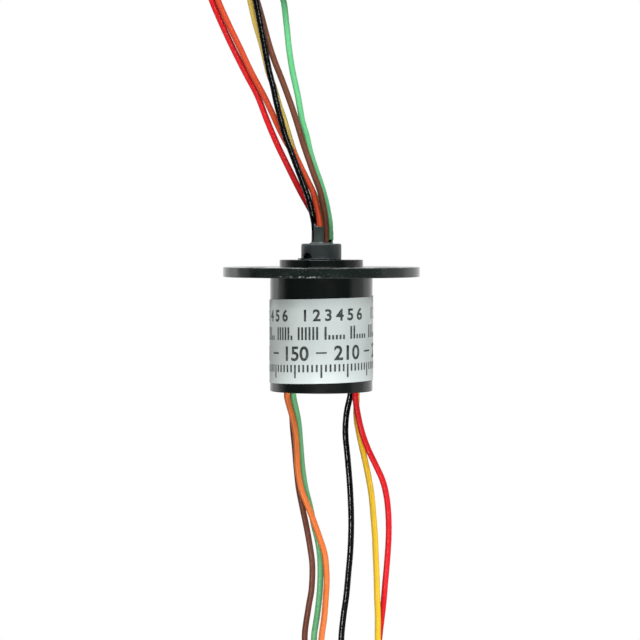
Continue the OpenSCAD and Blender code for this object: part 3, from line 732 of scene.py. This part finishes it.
def makeClip():  # a thin open ring in the groove of the nose
    s = rotorSizes
    low, high = s["grooveFoot"] + 0.002, s["grooveTop"] - 0.012
    inner, outer, offset = s["noseRadius"] - s["grooveDepth"] + 0.01, 2.66, 0.2
    corners = [(inner, low, 0), (outer, low, 0.03), (outer, high, 0.03), (inner, high, 0)]
    clip = turnedPiece("nylonClip", roundedOutline(corners), sides=s["sides"])
    between = (inner + outer) / 2
    moveVertices(clip, lambda spot: (  # its outer edge is wider on the left
        spot.x - (offset if spot.xy.length > between else 0), spot.y, spot.z))
    gap = addBox((1.6, s["notchWidth"], 1), (2.6, 0, low))
    gap.data.transform(Matrix.Rotation(math.radians(s["notchTurn"]), 4, 'Z'))
    cutWith(clip, gap)
    softenEdges(clip, 0.02, segments=2, angle=50)
    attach(clip, "rotor")
    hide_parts("retaining_clip")
    return clip


# sleeve: a short piece of shrink tube, slit where the leads push out of it
sleeveSizes = {
    "centre": 0.05, "radius": 1.28, "wall": 0.12, "foot": 3.3, "sides": 216, "rows": 20,
    "boreTop": 4.05, "bulge": 0.23,
    # height of the rim at each angle, from the left side through the front and the right
    "rim": [(-180, 4.24), (-168, 4.22), (-141, 4.24), (-138.5, 6.34), (-135, 6.44),
            (-131, 6.3), (-126, 6.2), (-110, 6.16), (-94, 6.13), (-83, 6.1), (-80, 6), (-78, 4.2),
            (-56, 4.16), (-50, 4.42), (-30, 4.54), (-12, 4.62), (6, 4.68), (11, 5.4),
            (24, 5.62), (50, 5.9), (90, 6.2), (130, 6.4), (164, 6.42), (168, 4.4), (180, 4.3)],
}


def makeSleeve():
    s = sleeveSizes
    sleeve = addPart(bpy.ops.mesh.primitive_circle_add, vertices=s["sides"],
                     radius=s["radius"] * mm)
    sleeve.name = "shrinkSleeve"
    setMode('EDIT')
    for _ in range(s["rows"]):
        extrudeUp(1)
    setMode('OBJECT')

    def drawn(spot):
        angle = math.degrees(math.atan2(spot.y, spot.x))
        rim = blendValue(s["rim"], angle)
        rim += 0.03 * noise.noise(Vector((spot.x * 3, spot.y * 3, 0)))
        share = spot.z / s["rows"]
        z = s["foot"] + (rim - s["foot"]) * share
        free = min(1, max(0, (z - s["boreTop"]) / 0.5))
        out = s["bulge"] * free * max(0, 1 - abs(angle - 22) / 42)
        wave = 0.035 * free * noise.noise(Vector((spot.x * 1.4, spot.y * 1.4, z * 0.9)))
        size = (s["radius"] + out + wave) / s["radius"]
        return (s["centre"] + spot.x * size, spot.y * size, z)

    moveVertices(sleeve, drawn)
    tidyMesh(sleeve)
    thicken(sleeve, s["wall"])
    softenEdges(sleeve, 0.03, segments=2, angle=50)
    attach(sleeve, "rotor")
    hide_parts("rotor_lead_sleeve")
    return sleeve


# resin: it fills the bore round the leads and stands a little proud of the nose
resinSizes = {
    "radius": 1.34, "foot": 2.3, "lipRadius": 1.46, "lipFoot": 4.05, "top": 4.2,
    "sides": 120, "uneven": 0.035, "sag": 0.12, "sagPlace": (0.65, -1.2), "sagWidth": 0.7,
    "stator": {"x": 3.8, "radius": 1.08, "foot": -13.94, "top": -12.4, "bossGap": 2.92},
}


def makeRotorResin():
    s = resinSizes
    lip, lipFoot, top = s["lipRadius"], s["lipFoot"], s["top"]
    outline = [(s["radius"], s["foot"]), (s["radius"], lipFoot), (lip - 0.03, lipFoot + 0.004),
               (lip, lipFoot + 0.04), (lip - 0.03, lipFoot + 0.09), (lip - 0.1, top - 0.02)]
    outline += [(lip * (1 - k / 16), top + 0.02) for k in range(2, 17)]
    resin = turnedPiece("rotorResin", outline, sides=s["sides"], ring=False)

    def uneven(spot):  # it sags where the brown lead leans over the rim
        if spot.z < lipFoot + 0.02:
            return spot
        swell = noise.noise(Vector((spot.x * 2.2, spot.y * 2.2, 1.7)))
        sag = max(0, 1 - math.dist(spot.xy, s["sagPlace"]) / s["sagWidth"])
        share = min(1, (spot.z - lipFoot) / (top - lipFoot))
        return (spot.x, spot.y, spot.z + s["uneven"] * swell - s["sag"] * sag * share)

    moveVertices(resin, uneven)
    tidyMesh(resin)
    smoothByAngle(resin, 50)
    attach(resin, "rotor")
    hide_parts("rotor_potting")
    return resin


def makeStatorResin(side):
    s = resinSizes["stator"]
    outline = [(s["radius"], s["top"]), (s["radius"], s["foot"] + 0.04)]
    outline += [(s["radius"] * k / 12, s["foot"] - 0.04 * math.cos(math.pi / 2 * k / 12))
                for k in range(11, -1, -1)]
    resin = turnedPiece("leftLeadResin" if side < 0 else "rightLeadResin", outline,
                        sides=96, ring=False)

    def uneven(spot):
        if spot.z > s["foot"] + 0.03:
            return (spot.x + side * s["x"], spot.y, spot.z)
        swell = noise.noise(Vector((spot.x * 2.5 + side, spot.y * 2.5, 0.4)))
        return (spot.x + side * s["x"], spot.y, spot.z + 0.03 * swell)

    moveVertices(resin, uneven)
    tidyMesh(resin)
    drill(resin, s["bossGap"], (0, 0, s["top"] - 0.4), 6, sides=96)
    smoothByAngle(resin, 50)
    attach(resin, "stator")
    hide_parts("left_stator_potting" if side < 0 else "right_stator_potting")
    return resin


rotorBody = makeRotor()
nylonClip = makeClip()
shrinkSleeve = makeSleeve()
resinPieces = [makeRotorResin(), makeStatorResin(-1), makeStatorResin(1)]
print("rotor, clip, sleeve and resin made")

# finishes: each is a node material that reads the object's own place


def newFinish(name, colour, roughness, specular=0.5, metallic=0):
    finish = bpy.data.materials.new(name)
    finish.use_nodes = True
    shader = finish.node_tree.nodes["Principled BSDF"]
    shader.inputs["Base Color"].default_value = (*colour, 1)
    shader.inputs["Roughness"].default_value = roughness
    shader.inputs["Specular IOR Level"].default_value = specular
    shader.inputs["Metallic"].default_value = metallic
    return finish, shader


def node(finish, kind, **values):
    made = finish.node_tree.nodes.new(kind)
    for key, value in values.items():
        if key in made.inputs:
            made.inputs[key].default_value = value
        else:
            setattr(made, key, value)
    return made


def link(finish, start, end):
    finish.node_tree.links.new(start, end)


def objectPlace(finish, stretch=(1, 1, 1)):
    place = node(finish, 'ShaderNodeTexCoord')
    mapping = node(finish, 'ShaderNodeMapping')
    mapping.inputs["Scale"].default_value = stretch
    link(finish, place.outputs["Object"], mapping.inputs["Vector"])
    return mapping.outputs["Vector"]


def grain(finish, scale, detail=3, stretch=(1, 1, 1), roughness=0.5):  # scale is per metre
    noiseNode = node(finish, 'ShaderNodeTexNoise')
    noiseNode.inputs["Scale"].default_value = scale
    noiseNode.inputs["Detail"].default_value = detail
    noiseNode.inputs["Roughness"].default_value = roughness
    link(finish, objectPlace(finish, stretch), noiseNode.inputs["Vector"])
    return noiseNode.outputs["Fac"]


def remap(finish, value, low, high, newLow=0, newHigh=1):
    ranger = node(finish, 'ShaderNodeMapRange')
    for key, number in (("From Min", low), ("From Max", high),
                        ("To Min", newLow), ("To Max", newHigh)):
        ranger.inputs[key].default_value = number
    link(finish, value, ranger.inputs["Value"])
    return ranger.outputs["Result"]


def maths(finish, operation, a, b):
    made = node(finish, 'ShaderNodeMath', operation=operation)
    for socket, value in zip(made.inputs, (a, b)):
        if isinstance(value, (int, float)):
            socket.default_value = value
        else:
            link(finish, value, socket)
    return made.outputs["Value"]


def times(finish, first, *others):
    for other in others:
        first = maths(finish, 'MULTIPLY', first, other)
    return first


def tint(finish, amount, base, other):  # amount, a socket, goes from base to other
    mixer = node(finish, 'ShaderNodeMix', data_type='RGBA')
    link(finish, amount, mixer.inputs["Factor"])
    for socket, colour in ((mixer.inputs[6], base), (mixer.inputs[7], other)):
        if isinstance(colour, tuple):
            socket.default_value = (*colour, 1)
        else:
            link(finish, colour, socket)
    return mixer.outputs[2]


def bumps(finish, shader, *layers):  # each layer is (height socket, depth in millimetres)
    normal = None
    for height, depth in layers:
        bump = node(finish, 'ShaderNodeBump')
        bump.inputs["Strength"].default_value = 1
        bump.inputs["Distance"].default_value = depth * mm
        link(finish, height, bump.inputs["Height"])
        if normal is not None:
            link(finish, normal, bump.inputs["Normal"])
        normal = bump.outputs["Normal"]
    link(finish, normal, shader.inputs["Normal"])


def axisPlace(finish):  # the x and z of a point, and its distance from the axis, in metres
    place = node(finish, 'ShaderNodeTexCoord')
    parts = node(finish, 'ShaderNodeSeparateXYZ')
    link(finish, place.outputs["Object"], parts.inputs["Vector"])
    x, y, z = (parts.outputs[k] for k in "XYZ")
    squares = maths(finish, 'ADD', times(finish, x, x), times(finish, y, y))
    return x, y, z, maths(finish, 'SQRT', squares, 0)


housingLook = {
    "colour": (0.0035, 0.0055, 0.005), "rim": (0.0115, 0.0165, 0.015),
    # the first colour on the next line paints a highlight on the top edge of the flange rim
    "edgeHighlightColour": (0.06, 0.07, 0.067), "fleck": (0.05, 0.058, 0.054), "scuff": (0.3, 0.33, 0.315),
    "roughness": 0.24, "grain": 5200,
}


def cloudedFinish(name, dark, light, roughness, cloud, relief, specular=0.5):
    scale, detail, low, high = cloud
    finish, shader = newFinish(name, light, roughness, specular=specular)
    amount = remap(finish, grain(finish, scale, detail), low, high)
    link(finish, tint(finish, amount, dark, light), shader.inputs["Base Color"])
    scale, detail, depth = relief
    bumps(finish, shader, (grain(finish, scale, detail), depth))
    return finish


def housingPlastic():
    s = housingLook
    finish, shader = newFinish("blackNylon", s["colour"], s["roughness"], specular=0.4)
    cloud = grain(finish, 420, detail=4)
    x, y, z, radius = axisPlace(finish)
    # painted highlight: a broken light line along the top edge of the flange rim
    nearRim = remap(finish, radius, 0.0117, 0.01196)
    nearTop = remap(finish, z, 0.00104, 0.00116)
    patchy = remap(finish, grain(finish, 1300, detail=5), 0.46, 0.6)
    paintedEdgeHighlight = times(finish, nearRim, nearTop, patchy)
    # pale scuffs low on the rim, most of them at the front left
    lowBand = times(finish, remap(finish, z, 0.00026, 0.00018),
                    remap(finish, z, -0.00002, 0.00006))
    front = times(finish, remap(finish, x, -0.0055, -0.0042), remap(finish, x, 0.0002, -0.0012),
                  remap(finish, y, -0.009, -0.0105))
    strokes = remap(finish, grain(finish, 2600, detail=5, stretch=(0.8, 1, 1.6)), 0.52, 0.62)
    few = remap(finish, grain(finish, 2300, detail=5, stretch=(1, 1, 3)), 0.66, 0.74)
    scuffs = maths(finish, 'MAXIMUM', times(finish, lowBand, front, nearRim, strokes),
                   times(finish, lowBand, nearRim, few, 0.5))
    base = tint(finish, remap(finish, cloud, 0.35, 0.7), s["colour"],
                tuple(1.35 * c for c in s["colour"]))
    rimCloud = remap(finish, grain(finish, 620, detail=5), 0.3, 0.66, 0.35, 1)
    collar = remap(finish, z, 0.0012, 0.00125)
    link(finish, remap(finish, collar, 0, 1, 0.4, 0.25), shader.inputs["Specular IOR Level"])
    # the collar loses its lighter tint in a patch below the notch of the nose, so it is darker
    # there
    darkPatchBelowNotch = times(finish, remap(finish, x, -0.0022, -0.0018), remap(finish, x, -0.0011, -0.0014))
    collar = times(finish, collar, maths(finish, 'SUBTRACT', 1, darkPatchBelowNotch))
    dull = times(finish, maths(finish, 'MAXIMUM', nearRim, collar), rimCloud)
    base = tint(finish, dull, base, s["rim"])
    flecks = times(finish, remap(finish, grain(finish, 4300, detail=3), 0.6, 0.68), nearRim, 0.5)
    base = tint(finish, flecks, base, s["fleck"])
    # the painted highlight along the top edge of the rim is laid over the colour here
    base = tint(finish, times(finish, paintedEdgeHighlight, 0.7), base, s["edgeHighlightColour"])
    base = tint(finish, scuffs, base, s["scuff"])
    link(finish, base, shader.inputs["Base Color"])
    smudges = remap(finish, grain(finish, 260, detail=3), 0.35, 0.7,
                    s["roughness"] - 0.04, s["roughness"] + 0.05)
    rough = maths(finish, 'ADD', smudges, times(finish, nearRim, -0.06))
    rough = maths(finish, 'ADD', rough, times(finish, scuffs, 0.3))
    link(finish, rough, shader.inputs["Roughness"])
    bumps(finish, shader, (grain(finish, s["grain"], detail=2), 0.006),
          (grain(finish, 700, detail=3), 0.02), (scuffs, -0.02))
    return finish


def rotorPlastic():
    finish, shader = newFinish("slateNylon", (0.042, 0.054, 0.055), 0.5, specular=0.42)
    cloud = remap(finish, grain(finish, 650, detail=4), 0.35, 0.7)
    z = axisPlace(finish)[2]
    # the nose is paler in patches along its rounded top edge and just above the groove
    paleTopEdgePatches = times(finish, remap(finish, z, 0.00385, 0.00405),
                  remap(finish, grain(finish, 1900, detail=4), 0.45, 0.62))
    foot = times(finish, remap(finish, z, 0.0025, 0.00232),
                 remap(finish, grain(finish, 2600, detail=4), 0.52, 0.66))
    base = tint(finish, cloud, (0.032, 0.043, 0.043), (0.05, 0.064, 0.064))
    base = tint(finish, times(finish, maths(finish, 'MAXIMUM', paleTopEdgePatches, foot), 0.55),
                base, (0.16, 0.175, 0.175))
    link(finish, base, shader.inputs["Base Color"])
    link(finish, remap(finish, grain(finish, 500, detail=3), 0.3, 0.7, 0.42, 0.6),
         shader.inputs["Roughness"])
    bumps(finish, shader, (grain(finish, 5600, detail=2), 0.008), (grain(finish, 900), 0.02))
    return finish


def labelFilmFinish():
    finish, shader = newFinish("silverFilm", (0.66, 0.72, 0.7), 0.5, specular=0.25)
    bands = remap(finish, grain(finish, 240, detail=2, stretch=(1, 1, 0.2)), 0.35, 0.65)
    base = tint(finish, bands, (0.62, 0.69, 0.68), (0.72, 0.78, 0.75))
    fleck = remap(finish, grain(finish, 3800, detail=2), 0.66, 0.74, 0, 0.25)
    base = tint(finish, fleck, base, (0.5, 0.54, 0.53))
    link(finish, base, shader.inputs["Base Color"])
    link(finish, remap(finish, grain(finish, 700, detail=3), 0.3, 0.7, 0.44, 0.58),
         shader.inputs["Roughness"])
    bumps(finish, shader, (grain(finish, 420, detail=3, stretch=(1, 1, 0.5)), 0.02),
          (grain(finish, 6500, detail=1), 0.002))
    return finish


def printInk():
    return cloudedFinish("printInk", (0.025, 0.031, 0.032), (0.12, 0.135, 0.135), 0.6,
                         cloud=(5200, 3, 0.4, 0.68), relief=(8000, 1, 0.002), specular=0.3)


leadLooks = {  # two shades of the leads above, two of those below, roughness, shine, coat
    "red": ((0.7, 0.014, 0.02), (0.8, 0.04, 0.044),
            (0.7, 0.012, 0.018), (0.78, 0.03, 0.034), 0.3, 0.04, 0.14),
    "orange": ((0.56, 0.06, 0.022), (0.66, 0.1, 0.04),
               (0.76, 0.175, 0.038), (0.84, 0.235, 0.07), 0.3, 0.04, 0.1),
    "yellow": ((0.7, 0.51, 0.11), (0.8, 0.61, 0.17),
               (0.8, 0.5, 0.024), (0.88, 0.58, 0.045), 0.3, 0.04, 0.1),
    "black": ((0.002, 0.0026, 0.0024), (0.005, 0.006, 0.006),
              (0.002, 0.0026, 0.0024), (0.005, 0.006, 0.006), 0.3, 0, 0.9),
    "brown": ((0.13, 0.046, 0.026), (0.22, 0.088, 0.052),
              (0.14, 0.044, 0.026), (0.24, 0.095, 0.065), 0.32, 0.04, 0.12),
    "green": ((0.12, 0.5, 0.21), (0.19, 0.62, 0.28),
              (0.13, 0.42, 0.18), (0.22, 0.55, 0.28), 0.3, 0.04, 0.1),
}


def leadFinish(colour):
    deepAbove, paleAbove, deepBelow, paleBelow, roughness, shine, coat = leadLooks[colour]
    finish, shader = newFinish(f"{colour}LeadSkin", deepAbove, roughness, specular=shine)
    slow = remap(finish, grain(finish, 160, detail=2), 0.3, 0.7)
    fine = remap(finish, grain(finish, 2400, detail=3), 0.5, 0.8, 0, 0.35)
    amount = maths(finish, 'ADD', times(finish, slow, 0.4), fine)
    # the leads above and below take shades of their own: partly the wires' own colour, partly
    # painted light that evens out the different light on the two ends
    above = remap(finish, axisPlace(finish)[2], -0.01, 0)
    skin = tint(finish, above, tint(finish, amount, deepBelow, paleBelow),
                tint(finish, amount, deepAbove, paleAbove))
    link(finish, skin, shader.inputs["Base Color"])
    link(finish, remap(finish, grain(finish, 1200, detail=3), 0.3, 0.7,
                       roughness - 0.07, roughness + 0.1), shader.inputs["Roughness"])
    speckle = remap(finish, grain(finish, 3600, detail=2), 0.42, 0.6, 0.1 * coat, coat)
    link(finish, speckle, shader.inputs["Coat Weight"])
    shader.inputs["Coat Roughness"].default_value = 0.14
    bumps(finish, shader, (grain(finish, 1500, detail=2), 0.004),
          (grain(finish, 4800, detail=2), 0.0022))
    link(finish, shader.inputs["Normal"].links[0].from_socket, shader.inputs["Coat Normal"])
    return finish


def sleeveFinish():
    finish, shader = newFinish("shrinkTube", (0.085, 0.105, 0.103), 0.55, specular=0.4)
    cloud = remap(finish, grain(finish, 1100, detail=4, stretch=(1, 1, 0.4)), 0.35, 0.68)
    base = tint(finish, cloud, (0.038, 0.054, 0.05), (0.072, 0.094, 0.088))
    x, _, z, _ = axisPlace(finish)
    # painted shade: the right side of the sleeve is tinted almost black and loses its shine
    side = remap(finish, x, 0.00055, 0.0008)
    base = tint(finish, side, base, (0.004, 0.006, 0.0055))
    cutEdge = times(finish, remap(finish, z, 0.00604, 0.00612),
                    remap(finish, grain(finish, 2200, detail=3), 0.4, 0.55))
    base = tint(finish, cutEdge, base, (0.22, 0.25, 0.24))
    link(finish, remap(finish, side, 0, 1, 0.4, 0), shader.inputs["Specular IOR Level"])
    link(finish, base, shader.inputs["Base Color"])
    bumps(finish, shader, (grain(finish, 1600, detail=4, stretch=(1, 1, 0.5)), 0.04),
          (grain(finish, 6000, detail=2), 0.006))
    return finish


def resinFinish():
    return cloudedFinish("pottingResin", (0.035, 0.043, 0.043), (0.12, 0.14, 0.138), 0.42,
                         cloud=(900, 4, 0.35, 0.7), relief=(1500, 4, 0.05))


def tieFinish():
    return cloudedFinish("blackTieNylon", (0.011, 0.011, 0.012), (0.026, 0.026, 0.027), 0.4,
                         cloud=(700, 3, 0.35, 0.7), relief=(4200, 2, 0.01), specular=0.45)


def insulatorFinish():
    return cloudedFinish("mouldedInsulator", (0.04, 0.053, 0.07), (0.07, 0.09, 0.11), 0.45,
                         cloud=(800, 4, 0.35, 0.7), relief=(4000, 2, 0.01))


def tinnedFinish():
    finish, shader = newFinish("tinnedCopper", (0.72, 0.71, 0.69), 0.3, metallic=1)
    cloud = remap(finish, grain(finish, 1800, detail=4), 0.35, 0.7)
    link(finish, tint(finish, cloud, (0.62, 0.61, 0.6), (0.8, 0.78, 0.75)),
         shader.inputs["Base Color"])
    link(finish, remap(finish, cloud, 0, 1, 0.22, 0.42), shader.inputs["Roughness"])
    bumps(finish, shader, (grain(finish, 3000, detail=3), 0.012))
    return finish


def metalFinish(name, dark, light, roughness, lines=(1, 1, 1)):
    finish, shader = newFinish(name, light, roughness, metallic=1)
    turned = remap(finish, grain(finish, 1600, detail=4, stretch=lines), 0.35, 0.7)
    link(finish, tint(finish, turned, dark, light), shader.inputs["Base Color"])
    link(finish, remap(finish, turned, 0, 1, roughness - 0.06, roughness + 0.08),
         shader.inputs["Roughness"])
    bumps(finish, shader, (turned, 0.004))
    return finish


def dress(piece, finish):
    piece.data.materials.clear()
    piece.data.materials.append(finish)


finishes = {
    housingPlastic: [housingShell, endCapDisc], labelFilmFinish: [labelFilm],
    printInk: printRows, rotorPlastic: [rotorBody, nylonClip], sleeveFinish: [shrinkSleeve],
    resinFinish: resinPieces, tieFinish: ties, tinnedFinish: tipPieces,
}
for makeFinish, pieces in finishes.items():
    finish = makeFinish()
    for piece in pieces:
        dress(piece, finish)
leadFinishes = {colour: leadFinish(colour) for colour in leadLooks}
for (end, colour), lead in leadPieces.items():
    dress(lead, leadFinishes[colour])

# the pieces inside keep their own solids and get a finish each
steel = metalFinish("bearingSteel", (0.5, 0.5, 0.51), (0.66, 0.66, 0.67), 0.28, (1, 1, 6))
shieldSteel = metalFinish("shieldSteel", (0.4, 0.4, 0.41), (0.55, 0.55, 0.56), 0.38)
brass = metalFinish("cageBrass", (0.6, 0.42, 0.16), (0.78, 0.58, 0.26), 0.34)
gold = metalFinish("goldPlate", (0.8, 0.5, 0.16), (0.95, 0.68, 0.3), 0.2, (1, 1, 8))
insulator = insulatorFinish()
insideFinishes = {
    "race": steel, "balls": steel, "shields": shieldSteel, "cage": brass, "brush_block": insulator,
    "brushes": gold, "contact_ring": gold, "barrier": insulator, "end_collar": insulator,
}
for name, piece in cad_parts.items():
    for words, finish in insideFinishes.items():
        if words in name:
            for slot in piece.material_slots:
                slot.material = finish
            if not piece.material_slots:
                piece.data.materials.append(finish)
            break
print("finishes set:", len(bpy.data.materials))

# studio: grey room, pale floor below, soft lights in front, at the sides and above
studio = {
    "floorHeight": -85, "floorRadius": 220, "floorTints": ((0.35, 0.35, 0.35), (0.37, 0.37, 0.37)),
    "room": (0.022, 0.024, 0.024), "roomStrength": 1.0, "backdrop": 1.0,
    "lights": [  # name, place, aim, width, height, watts, whether matt surfaces catch it
        ("frontHigh", (-20, -125, 296), (0, 0, 0), 260, 110, 1.75, True),
        ("frontLow", (40, -228, -200), (0, 0, -4), 300, 140, 1.25, True),
        ("rotorGlint", (75, -290, 0), (0, 0, 0), 40, 500, 1.1, False),
        ("statorGlint", (-110, -275, 0), (0, 0, 0), 40, 500, 2.4, False),
        ("leftSoftbox", (-300, 95, 30), (0, 0, 0), 180, 320, 0.11, False),
        ("rightSoftbox", (300, 10, 30), (0, 0, 0), 240, 320, 0.18, False),
        ("leftRim", (-215, 205, 10), (0, 0, 0), 240, 320, 0.29, False),
        ("rightRim", (215, 205, 10), (0, 0, 0), 240, 320, 0.29, False),
        ("backSoftbox", (0, 260, 20), (0, 0, 0), 240, 200, 0.2, False),
        ("topSoftbox", (0, 60, 300), (0, 0, 0), 300, 240, 0.12, True),
    ],
}


def makeFloor():
    floor = addPart(bpy.ops.mesh.primitive_circle_add, vertices=128, fill_type='NGON',
                    radius=studio["floorRadius"] * mm,
                    location=(0, 0, studio["floorHeight"] * mm))
    floor.name = "paleFloor"
    finish, shader = newFinish("palePaint", studio["floorTints"][1], 0.7, specular=0.2)
    cloud = remap(finish, grain(finish, 30, detail=3), 0.3, 0.7)
    link(finish, tint(finish, cloud, *studio["floorTints"]), shader.inputs["Base Color"])
    dress(floor, finish)
    floor.visible_shadow = False  # a soft light from below fills the underside


leadGroups = {end: bpy.data.collections.new(f"{end}LeadsInLight") for end in ("rotor", "stator")}
for (end, colour), lead in leadPieces.items():
    leadGroups[end].objects.link(lead)


def makeLights():
    for name, place, aim, width, height, watts, onMatt in studio["lights"]:
        spot = Vector(place) * mm
        heading = (Vector(aim) * mm - spot).to_track_quat('-Z', 'Y').to_euler()
        lamp = addPart(bpy.ops.object.light_add, type='AREA', location=spot, rotation=heading)
        lamp.name = name
        lamp.data.shape = 'RECTANGLE'
        lamp.data.size = width * mm
        lamp.data.size_y = height * mm
        lamp.data.energy = watts
        lamp.visible_camera = False
        lamp.visible_diffuse = onMatt
        if "Glint" in name:  # a thin light that only the leads of one end catch
            lamp.light_linking.receiver_collection = leadGroups[name.replace("Glint", "")]


def makeRoom():  # grey to light the piece, white where the camera sees past it
    world = bpy.data.worlds.new("studioRoom")
    bpy.context.scene.world = world
    world.use_nodes = True
    tree = world.node_tree
    light = tree.nodes["Background"]
    light.inputs["Color"].default_value = (*studio["room"], 1)
    light.inputs["Strength"].default_value = studio["roomStrength"]
    white = tree.nodes.new('ShaderNodeBackground')
    white.inputs["Color"].default_value = (1, 1, 1, 1)
    white.inputs["Strength"].default_value = studio["backdrop"]
    seen = tree.nodes.new('ShaderNodeLightPath')
    mixer = tree.nodes.new('ShaderNodeMixShader')
    tree.links.new(seen.outputs["Is Camera Ray"], mixer.inputs["Fac"])
    tree.links.new(light.outputs["Background"], mixer.inputs[1])
    tree.links.new(white.outputs["Background"], mixer.inputs[2])
    tree.links.new(mixer.outputs["Shader"], tree.nodes["World Output"].inputs["Surface"])


makeFloor()
makeLights()
makeRoom()
bpy.context.scene.view_settings.view_transform = 'Standard'
print("studio set")
